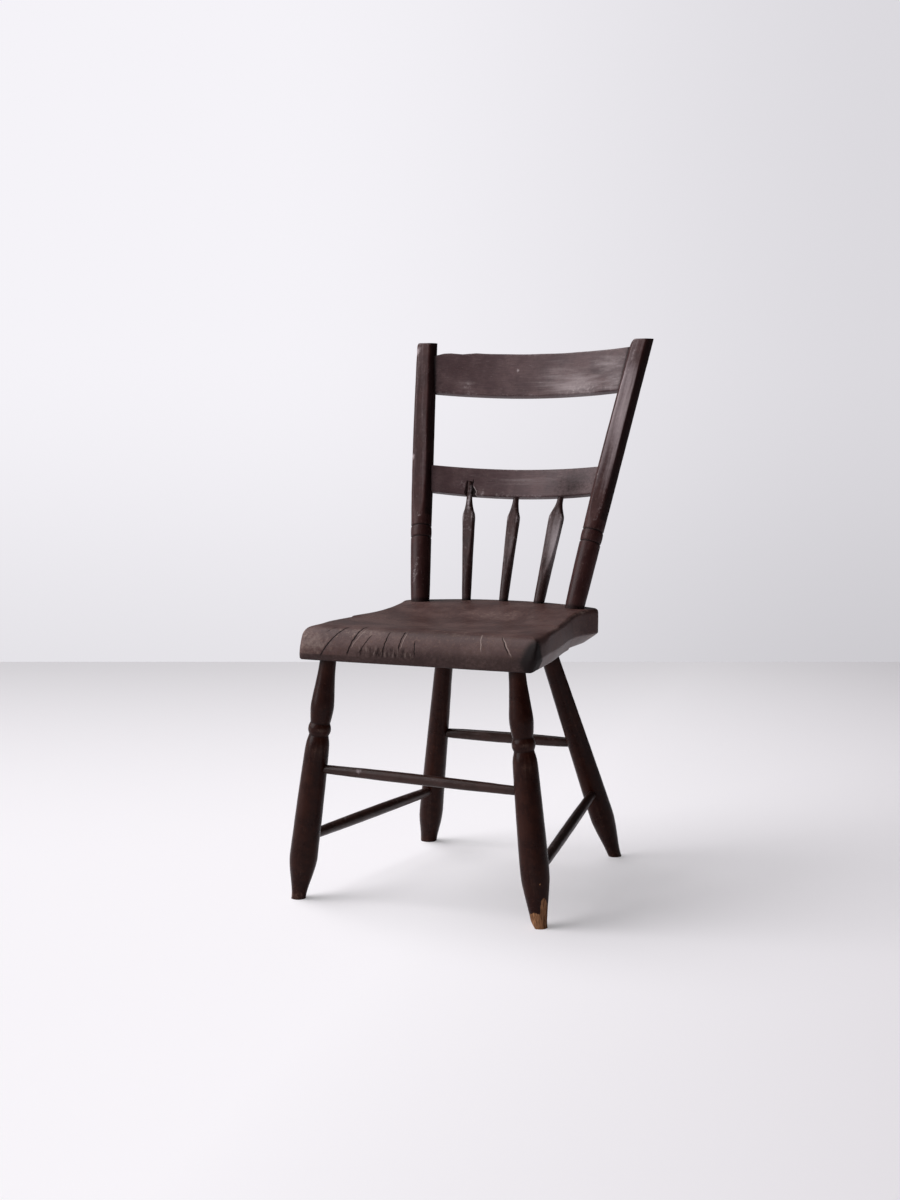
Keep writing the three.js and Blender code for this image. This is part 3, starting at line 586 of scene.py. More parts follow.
# %% A net of quads where the number is zero
def net(f, xs, ys, zs):
    axes = [xs, ys, zs]
    grid = np.stack(np.meshgrid(xs, ys, zs, indexing="ij"), -1)
    value = f(grid.reshape(-1, 3)).reshape(grid.shape[:3])
    cells = tuple(n - 1 for n in value.shape)
    total, count, crossings = np.zeros((*cells, 3)), np.zeros(cells), []
    for axis in range(3):
        head = [slice(None)] * 3
        tail = [slice(None)] * 3
        head[axis], tail[axis] = slice(1, None), slice(None, -1)
        a, b = value[tuple(tail)], value[tuple(head)]
        at = np.argwhere((a < 0) != (b < 0))
        va, vb = a[tuple(at.T)], b[tuple(at.T)]
        points = grid[tuple(tail)][tuple(at.T)].copy()
        points[:, axis] += va / (va - vb) * np.diff(axes[axis])[at[:, axis]]
        u, w = (axis + 1) % 3, (axis + 2) % 3
        corners = []
        for du, dw in ((-1, -1), (0, -1), (0, 0), (-1, 0)):
            cell = at.copy()
            cell[:, u] += du
            cell[:, w] += dw
            np.add.at(total, tuple(cell.T), points)
            np.add.at(count, tuple(cell.T), 1)
            corners.append(cell)
        crossings.append((corners, va < 0))
    used = count > 0
    number = np.full(cells, -1)
    number[used] = np.arange(used.sum())
    quads = []
    for corners, outward in crossings:
        q = np.stack([number[tuple(c.T)] for c in corners], 1)
        q[~outward] = q[~outward][:, ::-1]
        quads.append(q)
    return total[used] / count[used][:, None], np.concatenate(quads)


def settle(f, p, rounds=2, nudge=0.05):
    """Moves points straight onto the surface, and gives the way out at each."""
    for turn in range(rounds + 1):
        slope = np.stack([(f(p + nudge * e) - f(p - nudge * e)) / (2 * nudge) for e in np.eye(3)], 1)
        steep = np.maximum((slope**2).sum(1, keepdims=True), 0.2)
        move = f(p)[:, None] * slope / steep
        if turn < rounds:
            p = p - np.clip(move, -0.8, 0.8)
    return p, slope / np.sqrt(steep)


seat_xs = np.arange(-197, 197.1, 2.2)
seat_ys = np.concatenate([np.arange(SEAT_FRONT - 4, SEAT_FRONT + 50, 1.9),
                          np.arange(SEAT_FRONT + 51, SEAT_REAR + 4, 2.6)])
seat_zs = np.arange(-4, 66, 2.1)
seat_points, seat_faces = net(seat_shape, seat_xs, seat_ys, seat_zs)
seat_points, seat_out = settle(seat_shape, seat_points)
print("seat net:", len(seat_points), "points", len(seat_faces), "quads")

# %% The seat, with its worn edges, painted shade below and a painted highlight on its chamfer
wall, roll, top = seat_cuts(seat_points)
arris = np.exp(-(np.maximum(np.abs(wall - top), -np.minimum(wall, top) * 0.7) / 3.0) ** 2)
rolled = bell(seat_points[:, 1], SEAT_FRONT + 12, 10) * (seat_points[:, 2] > 34)
sx, sy, sz = seat_points.T
# Painted shade: what faces down, and the bottom of the front lip, are darkened.
below = step(-seat_out[:, 2], 0.9, 0.99)
lip = (sz < 11) & (sy < SEAT_FRONT + 14)
# Painted highlight: the underside chamfer along the sides is made paler.
chamfer_painted_highlight = (sz < BEVEL_HEIGHT - 1) & (np.abs(seat_out[:, 0]) > 0.3) & (sy > SEAT_FRONT + 30)
over_edge = 1 - np.arctan2((sz - ROLL_LIP) / ROLL_HEIGHT,
                           (SEAT_FRONT + ROLL_DEPTH - sy) / ROLL_DEPTH) / (math.pi / 2)
over_edge = np.where(sy < SEAT_FRONT + ROLL_DEPTH, over_edge, -(sy - SEAT_FRONT - ROLL_DEPTH) / 60)
# Painted shade: the front roll is darkened where it turns under, less at its left end.
turned_under = 0.5 * step(over_edge, 0.35, 0.8) + 0.5 * step(over_edge, 0.7, 1.0)
roll_painted_shade = turned_under * (0.20 + 0.36 * step(sx, -170, -60)) * (sy < SEAT_FRONT + ROLL_DEPTH)
seat = shape(
    "seat", seat_points + np.array([SHIFT.x, SHIFT.y, SEAT_UNDERSIDE]), seat_faces,
    grain=seat_points[:, [0, 2, 1]],
    rub_and_highlight=arris * 0.5 * (0.6 + 0.4 * rumple(seat_points, 30, 8)) + 0.10 * rolled
    + 0.28 * chamfer_painted_highlight * (0.5 + rumple(seat_points, 24, 5)),
    grime_and_shade=0.35 * below + np.maximum(0.55 * lip, roll_painted_shade), material=PAINT["plank_seat"])
roll_place = np.stack([sx * MM, over_edge, sz * 0], 1).astype(np.float32)
seat.data.attributes.new("roll", "FLOAT_VECTOR", "POINT").data.foreach_set("vector", roll_place.ravel())

# %% [markdown]
# ## Turned pieces
# Legs, stretchers, posts and spindles are all turned on a lathe: a line with a radius at every point. That
# is a rule, so one Geometry Nodes tree turns them all. The line comes in as a mesh of points with the
# attribute `half`, the tree sweeps a circle along it, dents it slightly as soft wood does, keeps each
# point's place on the billet as `grain`, and stands it up where it belongs.

# %% The turning tree
def turning_tree():
    tree = bpy.data.node_groups.new("hand_turning", "GeometryNodeTree")
    face = tree.interface
    face.new_socket("Geometry", in_out="INPUT", socket_type="NodeSocketGeometry")
    for name, kind, value in (
            ("Sides", "Int", 72), ("Dent Depth", "Float", 0.00025), ("Dent Size", "Float", 0.02),
            ("Seed", "Float", 1.0), ("Place", "Vector", (0, 0, 0)), ("Turn", "Rotation", None)):
        socket = face.new_socket(name, in_out="INPUT", socket_type="NodeSocket" + kind)
        if value is not None:
            socket.default_value = value
    face.new_socket("Geometry", in_out="OUTPUT", socket_type="NodeSocketGeometry")
    given = add(tree, "NodeGroupInput", out="all")
    half = add(tree, "GeometryNodeInputNamedAttribute", {"data_type": "FLOAT"}, out="Attribute",
               Name="half")
    line = add(tree, "GeometryNodeMeshToCurve", Mesh=given["Geometry"])
    circle = add(tree, "GeometryNodeCurvePrimitiveCircle", Resolution=given["Sides"], Radius=1.0)
    swept = add(tree, "GeometryNodeCurveToMesh", Curve=line, Profile_Curve=circle, Scale=half,
                Fill_Caps=True)
    place = add(tree, "GeometryNodeInputPosition")
    kept = add(tree, "GeometryNodeStoreNamedAttribute", {"data_type": "FLOAT_VECTOR"}, Geometry=swept,
               Name="grain", Value=place)
    normal = add(tree, "GeometryNodeInputNormal")
    size = add(tree, "Math", {"operation": "DIVIDE"}, _0=1.0, _1=given["Dent Size"])
    noise = add(tree, "TexNoise", {"noise_dimensions": "4D"}, W=given["Seed"], Scale=size, Detail=1.0)
    dent = add(tree, "MapRange", _0=noise, _1=0.3, _2=0.7, _3=-1.0, _4=0.0)
    dent = add(tree, "Math", TIMES, _0=dent, _1=given["Dent Depth"])
    push = add(tree, "VectorMath", SCALE, _0=normal, Scale=dent)
    dented = add(tree, "GeometryNodeSetPosition", Geometry=kept, Offset=push)
    stood = add(tree, "GeometryNodeTransform", Geometry=dented, Translation=given["Place"],
                Rotation=given["Turn"])
    add(tree, "NodeGroupOutput", Geometry=stood)
    return tree


turning = turning_tree()
INPUT = {item.name: item.identifier for item in turning.interface.items_tree if item.in_out == "INPUT"}
print("turning inputs:", INPUT)


# %% One turned piece as plain arrays
def turn_piece(runs, pose, sides, seed, dent=0.25, pitch=1.8):
    """Sweeps the runs of (height, diameter) points, and gives points, faces and billet places in mm."""
    outline = []
    for run in runs:
        steps = max(2, int(abs(run[-1][0] - run[0][0]) / pitch))
        outline.extend(spline(run, steps)[1 if outline else 0:])
    outline = np.array(outline)
    mesh = bpy.data.meshes.new("billet")
    mesh.from_pydata([(0, 0, z * MM) for z, d in outline], [(i, i + 1) for i in range(len(outline) - 1)],
                     [])
    half = (outline[:, 1] / 2 * MM).astype(np.float32)
    mesh.attributes.new("half", "FLOAT", "POINT").data.foreach_set("value", half)
    billet = bpy.data.objects.new("billet", mesh)
    bpy.context.scene.collection.objects.link(billet)
    lathe = billet.modifiers.new("lathe", "NODES")
    lathe.node_group = turning
    for name, value in (("Sides", sides), ("Dent Depth", dent * MM), ("Seed", float(seed)),
                        ("Place", pose.to_translation() * MM), ("Turn", pose.to_euler())):
        lathe[INPUT[name]] = value
    result = bpy.data.meshes.new_from_object(billet.evaluated_get(bpy.context.evaluated_depsgraph_get()))
    points, grain = np.zeros(len(result.vertices) * 3), np.zeros(len(result.vertices) * 3)
    result.vertices.foreach_get("co", points)
    result.attributes["grain"].data.foreach_get("vector", grain)
    faces = [tuple(f.vertices) for f in result.polygons]
    bpy.data.objects.remove(billet)
    bpy.data.meshes.remove(mesh)
    bpy.data.meshes.remove(result)
    return points.reshape(-1, 3) / MM, faces, grain.reshape(-1, 3) / MM


def standing(base, tip):
    """The pose that stands a billet at base and points it at tip."""
    base, tip = Vector(base), Vector(tip)
    return Matrix.Translation(base) @ Vector((0, 0, 1)).rotation_difference(tip - base).to_matrix().to_4x4()


test_points = turn_piece([[(0, 20), (50, 20)]], Matrix.Identity(4), 12, 1, dent=0)[0]
print("test rod is", np.ptp(test_points[:, 0]).round(2), "mm across and",
      np.ptp(test_points[:, 2]).round(2), "long")

# %% [markdown]
# ## Legs
# A front leg swells to a long bulb, pinches to a bead (the ring), then rises as a vase into the seat. A
# rear leg is a plain taper. Years on hard floors have ground the toes down, each differently, and the
# front right toe has split off part of its outer corner and lost its paint.

# %% Leg turnings, chair sizes
TENON, TENON_WIDE = 32.0, 24.0
SWELL, SWELL_AT = 43.0, 85.0
RING_AT, RING_WIDE, RING, NECK, VASE = 268.0, 19.0, 35.0, 30.0, 36.0
REAR_SWELL, REAR_TOP = 40.0, 29.0


def front_leg_runs(length, toe, ankle, foot):
    low_ring, high_ring = RING_AT - RING_WIDE / 2, RING_AT + RING_WIDE / 2
    return [
        [(-12, toe), (foot * 0.2, toe + 1), (foot, ankle), (SWELL_AT, SWELL), (160, SWELL - 2),
         (low_ring - 34, SWELL - 5)],
        [(low_ring - 34, SWELL - 5), (low_ring - 14, SWELL - 7), (low_ring, NECK)],
        [(low_ring, NECK), (RING_AT - 4, RING - 0.6), (RING_AT, RING), (RING_AT + 4, RING - 0.6),
         (high_ring, NECK + 0.5)],
        [(high_ring, NECK + 0.5), (high_ring + 12, VASE - 2), (high_ring + 27, VASE),
         (high_ring + 50, VASE - 4), (SEAT_UNDERSIDE - 10, TENON_WIDE + 2), (length, TENON_WIDE)],
    ]


def rear_leg_runs(length, toe, ankle, foot):
    return [[(-25, toe), (foot * 0.15, toe + 1), (foot, ankle), (90, REAR_SWELL), (190, REAR_SWELL - 3.5),
             (300, REAR_SWELL - 8), (SEAT_UNDERSIDE, REAR_TOP), (length, TENON_WIDE + 2)]]


LEGS = {  # side, rear, splay, rake, toe, ankle, foot length
    "front_left_leg": (-1, False, 45.9, -17.4, 23.0, 41.5, 55.0),
    "front_right_leg": (1, False, 42.4, -13.6, 23.5, 38.0, 55.0),
    "rear_left_leg": (-1, True, 73.4, 91.4, 28.0, 40.0, 50.0),
    "rear_right_leg": (1, True, 85.5, 117.2, 21.5, 37.0, 60.0),
}
print("legs:", list(LEGS))


def level(points, axis, height, above, ease=2.4):
    """Slides what is past a level plane back along the axis, and eases the rim."""
    past = (points[:, 2] - height) * (1 if above else -1)
    back = blend_cuts(past, np.zeros(len(past)), ease) * (1 if above else -1)
    return points - np.array(axis)[None] / axis[2] * back[:, None]


# %% Turn and stand the legs
LEG_LINES = {}
SPLIT_DEPTH, SPLIT_HEIGHT, SPLIT_TURN = 4.5, 7.0, math.radians(203)
for number, (name, (side, rear, splay, rake, toe, ankle, foot)) in enumerate(LEGS.items()):
    x = REAR_HALF - REAR_LEG_IN if rear else FRONT_HALF - FRONT_LEG_IN
    y = SEAT_REAR - REAR_LEG_FORWARD if rear else SEAT_FRONT + FRONT_LEG_BACK
    head = Vector((side * x, y, SEAT_UNDERSIDE)) + SHIFT
    base = Vector((side * (x + splay), y + rake, 0)) + SHIFT
    LEG_LINES[name] = (base, head)
    length = (head - base).length + TENON
    runs = (rear_leg_runs if rear else front_leg_runs)(length, toe, ankle, foot)
    points, faces, grain = turn_piece(runs, standing(base, head), 72, number + 2)
    points = level(points, (head - base).normalized(), 0, above=False)
    if name == "front_right_leg":
        out = np.array([math.cos(SPLIT_TURN), math.sin(SPLIT_TURN), 0])
        lean = math.atan2(SPLIT_DEPTH, SPLIT_HEIGHT)
        facing = out * math.cos(lean) - np.array([0, 0, math.sin(lean)])
        past = (points - np.array(base) - out * (toe / 2 - SPLIT_DEPTH)) @ facing
        split_off = blend_cuts(past, past * 0, 0.8) * (1 + 0.1 * rumple(points, 3, 41))
        points = points - facing * split_off[:, None]
        points[:, 2] = np.maximum(points[:, 2], 0)
    z = grain[:, 2]
    low_ring, high_ring = RING_AT - RING_WIDE / 2, RING_AT + RING_WIDE / 2
    # Darker in the creases at the ring's edges. Paler on the ring and on the swell below it: rubbed paint and
    # a painted highlight.
    ring_creases_dark = 0 if rear else bell(z, low_ring, 2.2) + bell(z, high_ring, 2.2)
    ring_wear_and_highlight = 0 if rear else bell(z, RING_AT, 3.0) + bell(z, low_ring - 24, 12) * 0.6
    scuffs = 0.35 * step(rumple(grain * [1, 1, 0.4], 14, 31 + number), 0.25, 0.8)
    foot_wear = 0.55 * (1 - step(z, 2, 26)) + 0.2 * (1 - step(z, 20, 110)) * scuffs
    # Painted shade: the top of each leg, just under the seat, is darkened.
    shape(name, points, faces, grain,
          rub_and_highlight=0.12 * ring_wear_and_highlight + foot_wear * 0.5 + scuffs * 0.2, bloom_and_sheen=0.25 * ring_wear_and_highlight,
          grime_and_shade=0.5 * ring_creases_dark + 0.4 * step(z, SEAT_UNDERSIDE - 22, SEAT_UNDERSIDE),
          material=PAINT["turned_legs"])

# %% [markdown]
# ## Stretchers
# Four slightly swelled rods tie the legs. Their ends are tenons driven into the legs, so only the swell
# shows. Shoes rest on the front one, which has rubbed its top; the tops of all four also carry a painted
# highlight.

# %% Stretchers between the legs
STRETCHER_STOP, STRETCHER_TENON = 7.0, 12.5  # short of the leg's middle, and how thick its ends are
STRETCHERS = {  # from, to, heights on each, diameter
    "front_stretcher": ("front_left_leg", "front_right_leg", 204.5, 197.0, 16.5),
    "rear_stretcher": ("rear_left_leg", "rear_right_leg", 204.5, 202.0, 19.0),
    "left_side_stretcher": ("front_left_leg", "rear_left_leg", 96.5, 97.0, 18.5),
    "right_side_stretcher": ("front_right_leg", "rear_right_leg", 75.5, 116.0, 17.5),
}
for number, (name, (one, other, start_at, end_at, diameter)) in enumerate(STRETCHERS.items()):
    start, end = (LEG_LINES[leg][0].lerp(LEG_LINES[leg][1], at / SEAT_UNDERSIDE)
                  for leg, at in ((one, start_at), (other, end_at)))
    length = (end - start).length - 2 * STRETCHER_STOP
    base = start.lerp(end, STRETCHER_STOP / (end - start).length)
    tenon = min(18, length / 4)
    runs = [[(0, STRETCHER_TENON), (tenon, diameter - 2.5), (length * 0.3, diameter - 0.4),
             (length / 2, diameter),
             (length * 0.7, diameter - 0.4), (length - tenon, diameter - 2.5),
             (length, STRETCHER_TENON)]]
    points, faces, grain = turn_piece(runs, standing(base, end), 56, number + 9, pitch=2.4)
    ends = np.exp(-np.minimum(grain[:, 2], length - grain[:, 2]) / 14)
    # Paler on top: rubbed paint and a painted highlight.
    upward = step(points[:, 2] - np.interp(grain[:, 2], [0, length], [base.z, end.z]), 2, 9)
    shape(name, points, faces, grain,
          rub_and_highlight=0.35 * upward * step(rumple(grain * [1, 1, 0.3], 12, 50 + number), -0.2, 0.7),
          grime_and_shade=0.8 * ends,
          material=PAINT["stretchers"])

# %% [markdown]
# ## Back posts
# Each post is turned round at the foot with two scribed rings, then its front is shaved flat so that the
# sitter's shoulders rest on a plane; the flat runs out in a pointed arch above the rings. The posts are
# steam-bent: the top sweeps back. The tree turns a straight billet; the flat and the bend come after.

# %% The leaning frame of the back
BACK_TILT, POST_SPLAY = math.radians(20.8), math.radians(7.3)
POST_X = REAR_HALF - POST_IN
POST_Y = rear_edge(REAR_HALF) - POST_FORWARD
POST_LENGTH, POST, POST_FOOT = 471.5, 37.0, 31.0
POST_BEND, FLAT_DEPTH, FLAT_START = 5.0, 3.7, 148.0
RINGS = (110.0, 130.0)
TOP_CORNER_WORN = {"left_back_post": 3.0, "right_back_post": 6.5}
FLAT_HAZE_AND_SHEEN = {  # heights on the post, and how pale its flat is there: chalky haze, and on the right post a painted sheen
    "left_back_post": ((150, 250, 440), (0.0, 0.12, 0.10)),
    "right_back_post": ((170, 250, 330, 400, 425, 460), (0.0, 0.38, 0.66, 0.58, 0.25, 0.2)),
}
post_foot = SEAT_UNDERSIDE + float(seat_top(np.array([POST_X]), np.array([POST_Y]))[0])
back_foot = SHIFT + Vector((0, POST_Y, post_foot))
BACK = Matrix.Translation(back_foot) @ Matrix.Rotation(-BACK_TILT, 4, "X")
print("back stands at, mm:", [round(v, 1) for v in BACK.to_translation()])


def post_forward(z):
    share = np.clip(z / POST_LENGTH, 0, 1)
    return POST_BEND * 4 * share * (1 - share)


def into(matrix, points):
    m = np.array(matrix)
    return points @ m[:3, :3].T + m[:3, 3]


# %% Turn, flatten and bend the posts
def groove(at, diameter):
    half = [(1.8, 0.0), (1.1, 1.6), (0.4, 3.2)]
    return [(at - w, diameter - d) for w, d in half] + [(at + w, diameter - d) for w, d in half[::-1]]


waist = POST - 2
POST_RUNS = [
    [(-32, 23), (0, POST_FOOT), (50, waist - 1.2), (RINGS[0] - 1.8, waist)], groove(RINGS[0], waist),
    [(RINGS[0] + 1.8, waist), (sum(RINGS) / 2, waist + 0.8), (RINGS[1] - 1.8, waist)],
    groove(RINGS[1], waist),
    [(RINGS[1] + 1.8, waist), (FLAT_START + 30, POST - 0.8), (POST_LENGTH * 0.6, POST),
     (POST_LENGTH * 0.9, POST - 1), (POST_LENGTH + POST / 2, POST - 2)],
]
for side, name in ((-1, "left_back_post"), (1, "right_back_post")):
    points, faces, grain = turn_piece(POST_RUNS, Matrix.Identity(4), 96, 20 + side, pitch=1.9)
    x, y, z = points.T
    cut = np.interp(z, [FLAT_START - 16, FLAT_START, FLAT_START + 12, FLAT_START + 34, POST_LENGTH + POST],
                    [-1.2, 1.6, 2.6, FLAT_DEPTH, FLAT_DEPTH])
    surface = -POST / 2 + cut
    depth = blend_cuts(y, surface, 0.7)
    flat = np.where(z > FLAT_START - 16, depth, y)
    points = np.stack([x, flat - post_forward(z), z], 1)
    arris = bell(y, surface, 1.6) * (z > FLAT_START - 4)
    pose = BACK @ Matrix.Translation((side * POST_X, 0, 0)) @ Matrix.Rotation(side * POST_SPLAY, 4, "Y")
    top = (pose @ Vector((0, 0, POST_LENGTH))).z
    points = level(into(pose, points), pose.to_3x3() @ Vector((0, 0, 1)), top, above=True, ease=3.6)
    corner = np.array(pose @ Vector((-POST / 2, 0, POST_LENGTH)))
    leftward = np.array([-0.68, 0, 0.73])
    past = (points - corner) @ leftward + TOP_CORNER_WORN[name]
    worn_off = blend_cuts(past, past * 0, 3.0) * (points[:, 2] > top - 40)
    points = points - leftward * worn_off[:, None]
    crown = step(points[:, 2], top - 4, top - 0.5)
    rings = sum(bell(z, at, 1.0) for at in RINGS)
    patchy = step(rumple(grain * [1, 1, 0.4], 16, 60 + side), -0.3, 0.7)
    on_flat = step(y, surface + 1.2, surface) * (z > FLAT_START)
    flat_haze_and_sheen = np.interp(z, *FLAT_HAZE_AND_SHEEN[name])
    # Painted shade: off the flat, the post's side away from the light is darkened.
    shaded = step(x, 6, 15) * (1 - on_flat) * (z > FLAT_START)
    shape(name, points, faces, grain,
          rub_and_highlight=0.25 * arris * patchy + 0.3 * crown + 0.06 * patchy, bloom_and_sheen=flat_haze_and_sheen * on_flat,
          grime_and_shade=0.9 * rings + 0.6 * np.exp(-np.maximum(z, 0) / 4) * (z < 16) + 0.6 * shaded,
          material=PAINT["back_posts"])

# %% [markdown]
# ## Crest rail and lower rail
# Both are boards about 16 mm thick, bowed backward and let into the posts. Their long edges are softened
# by hands. The lower rail has burst where the left spindle's tenon pushed through its face: a splinter has
# gone, and the tenon shows. Each rail is one closed loop of section points drawn out along its length.

# %% A bowed board
RAIL_THICK, RAIL_STOP, RAIL_EDGE = 16.0, 5.0, 2.6


def bowed_board(bottom, height, bow, columns, rows):
    """Points of a board in the back's frame: x across, y back, z up, its columns from -1 to 1."""
    half_at = lambda z: POST_X + z * math.tan(POST_SPLAY) - RAIL_STOP
    middle = bottom + height / 2
    half, edge = RAIL_THICK / 2, RAIL_EDGE
    arc = np.linspace(0, math.pi / 2, 5)
    up = np.linspace(0, height - 2 * edge, rows)[1:-1] + edge
    corner = lambda cy, cz, turn: [(cy + edge * math.cos(turn + a), cz + edge * math.sin(turn + a))
                                   for a in arc]
    loop = (corner(half - edge, edge, -math.pi / 2) + [(half, v) for v in up]
            + corner(half - edge, height - edge, 0)
            + corner(-half + edge, height - edge, math.pi / 2) + [(-half, v) for v in up[::-1]]
            + corner(-half + edge, edge, math.pi))
    loop = np.array(loop)
    z = bottom + loop[:, 1]
    x = columns[:, None] * half_at(z)[None]
    y = -post_forward(middle) + bow * (1 - (x / half_at(middle)) ** 2) + loop[:, 0][None]
    points = np.stack([x, y, np.broadcast_to(z, x.shape)], -1)
    section = np.broadcast_to(loop, (*x.shape, 2))
    return points, section


def loop_faces(count, ring):
    quads = [(i * ring + j, (i + 1) * ring + j, (i + 1) * ring + (j + 1) % ring, i * ring + (j + 1) % ring)
             for i in range(count - 1) for j in range(ring)]
    return quads + [tuple(range(ring)), tuple((count - 1) * ring + j for j in reversed(range(ring)))]


def rail_edge_wear(section, height):
    """Near 1 at the four long arrises."""
    near_face = RAIL_THICK / 2 - np.abs(section[..., 0])
    near_edge = height / 2 - np.abs(section[..., 1] - height / 2)
    return np.exp(-((near_face + near_edge) / 3.0) ** 2)


print("board test:", bowed_board(0, 50, 20, np.linspace(-1, 1, 5), rows=26)[0].shape)

# %% The crest rail, its top edge worn wavy
CREST_BOTTOM, CREST_HEIGHT, CREST_BOW = 376.0, 76.0, 26.0
# how far from the left end, and how deep the top edge is worn there
CREST_WEAR = np.array([(0, 12), (16, 11), (34, 4.5), (46, 3), (66, 3.5), (90, 0)])
points, section = bowed_board(CREST_BOTTOM, CREST_HEIGHT, CREST_BOW, np.linspace(-1, 1, 230), rows=34)
ring = points.shape[1]
flat = points.reshape(-1, 3)
near_top = np.clip(section[..., 1] / 34 - CREST_HEIGHT / 34 + 1, 0, 1).ravel()
wave = 0.4 * rumple(np.stack([flat[:, 0], flat[:, 0] * 0, flat[:, 0] * 0], 1), 34, 5) - 0.4
from_left = flat[:, 0] + POST_X + (CREST_BOTTOM + CREST_HEIGHT) * math.tan(POST_SPLAY)
flat[:, 2] += near_top * (wave - np.interp(from_left, *CREST_WEAR.T))
sag = np.interp(flat[:, 0], [-190, 0, 190], [2.0, 2.0, 0.8])
flat[:, 2] -= (1 - section[..., 1].ravel() / CREST_HEIGHT) * sag
flat[:, 1] += 0.35 * rumple(flat, 48, 6) + 0.08 * rumple(flat, 12, 7)
worn_edge = rail_edge_wear(section, CREST_HEIGHT).ravel()
ends = np.exp(-(POST_X + flat[:, 2] * math.tan(POST_SPLAY) - 18 - np.abs(flat[:, 0])) / 3)
shape(
    "crest_rail", into(BACK, flat), loop_faces(len(points), ring), flat[:, [1, 2, 0]],
    rub_and_highlight=worn_edge * (0.2 + 0.3 * rumple(flat, 26, 9))
    + 0.08 * step(rumple(flat * [0.4, 1, 1], 30, 10), 0, 0.8),
    grime_and_shade=0.7 * np.clip(ends, 0, 1), material=PAINT["bent_boards"])

# %% The lower rail, burst at the left spindle
LOW_BOTTOM, LOW_HEIGHT, LOW_BOW = 192.5, 47.0, 30.0
# across and up from the foot of the left spindle's tenon
BURST = np.array([(-7, -5), (-6.5, 10), (-5.6, 24), (4.8, 24.5), (5.8, 28), (7.6, 27.6), (7.4, 15),
                  (10, 12.5), (13.5, 7), (14, -5)], float)
SPINDLE_AT_RAIL = 82.3
middle_half = POST_X + (LOW_BOTTOM + LOW_HEIGHT / 2) * math.tan(POST_SPLAY) - RAIL_STOP
fine = np.arange(-SPINDLE_AT_RAIL - 16, -SPINDLE_AT_RAIL + 28, 0.9) / middle_half
columns = np.unique(np.concatenate([np.linspace(-1, 1, 170), fine]))
points, section = bowed_board(LOW_BOTTOM, LOW_HEIGHT, LOW_BOW, columns, rows=44)
ring = points.shape[1]
flat = points.reshape(-1, 3)
height = section[..., 1].ravel()
front = section[..., 0].ravel() < -RAIL_THICK / 2 + 3
across = flat[:, 0] + SPINDLE_AT_RAIL
hole = outside(BURST, across, height) + 0.7 + 0.5 * rumple(flat, 3, 13)
# Painted shade: inside the burst the rail's face is darkened.
sunk = step(-hole, -0.2, 0.7) * front
flat[:, 1] += 7.0 * sunk
# The lifted splinter's rim is a pale torn edge with a painted highlight.
lifted = bell(hole, 0.9, 1.0) * (across > 8) * (height < 15) * front
flat[:, 1] -= 0.9 * lifted
flat[:, 1] += 0.3 * rumple(flat, 40, 11)
flat[:, 2] += height / LOW_HEIGHT * 2.0 * np.clip(1 - (flat[:, 0] / 150) ** 2, 0, 1)
worn_edge = rail_edge_wear(section, LOW_HEIGHT).ravel()
shape(
    "lower_back_rail", into(BACK, flat), loop_faces(len(points), ring), flat[:, [1, 2, 0]],
    rub_and_highlight=worn_edge * (0.2 + 0.3 * rumple(flat, 22, 14)) + 0.9 * lifted
    + 0.10 * step(rumple(flat, 20, 15), 0, 0.8),
    grime_and_shade=0.7 * sunk, material=PAINT["bent_boards"])

# %% [markdown]
# ## Arrow spindles
# Each spindle is turned, then squeezed flat toward the top so that it widens to an arrow's shoulder and
# narrows to a round neck under the rail. The same tree turns three billets, and the flats are blended in.

# %% Three spindles
back_at = lambda x, bottom, height, bow: -post_forward(bottom + height / 2) + bow * (
    1 - (x / (POST_X + (bottom + height / 2) * math.tan(POST_SPLAY) - RAIL_STOP)) ** 2)
for number, (name, place, width) in enumerate((
        ("left_arrow_spindle", -1, 22.0), ("middle_arrow_spindle", 0, 22.0),
        ("right_arrow_spindle", 1, 26.0))):
    x = place * SPINDLE_PITCH - SPINDLE_SHIFT
    y = rear_edge(x) - SPINDLE_FORWARD
    base = Vector((x, y, SEAT_UNDERSIDE + float(seat_top(np.array([x]), np.array([y]))[0]))) + SHIFT
    rail_x = place * SPINDLE_AT_RAIL
    tip = BACK @ Vector((rail_x, float(back_at(rail_x, LOW_BOTTOM, LOW_HEIGHT, LOW_BOW)), LOW_BOTTOM))
    length = (tip - base).length
    runs = [[(-24, width * 0.6), (0, width * 0.7), (length * 0.4, width * 0.84), (length * 0.78, width)],
            [(length * 0.78, width), (length * 0.82, width * 0.96), (length * 0.87, width * 0.72),
             (length * 0.93, 12.0), (length, 10.0), (length + 26, 10.0)]]
    pose = standing(base, tip)
    points, faces, grain = turn_piece(runs, Matrix.Identity(4), 72, 30 + number, pitch=1.6)
    x, y, z = points.T
    face = 6.0 + 5.5 * (1 - np.clip((z / length - 0.16) / 0.46, 0, 1)) ** 1.6
    y = np.sign(y) * -blend_cuts(-np.abs(y), -face, 1.0)
    points = np.stack([x, y, z], 1)
    shoulder = bell(z, length * 0.8, 12) * (np.abs(x) > width * 0.3)
    shape(name, into(pose, points), faces, grain,
          rub_and_highlight=0.4 * shoulder + 0.2 * step(rumple(grain, 12, 70 + number), 0, 0.8),
          grime_and_shade=0.7 * np.exp(-np.maximum(z, 0) / 5) + 0.4 * step(z, length - 6, length) * (place >= 0),
          material=PAINT["arrow_spindles"])

# %% [markdown]
# ## Floor and backdrop
# The chair stands on a plain near-white floor in a white room whose window is to the left, so floor and
# wall both fade a little to the right. The floor is one sheet that takes the shadow, and the camera sees it
# partly in its plain colour, which keeps the shadow as pale as in the photograph without more light on the
# chair. The wall is only the colour that the camera sees behind it.

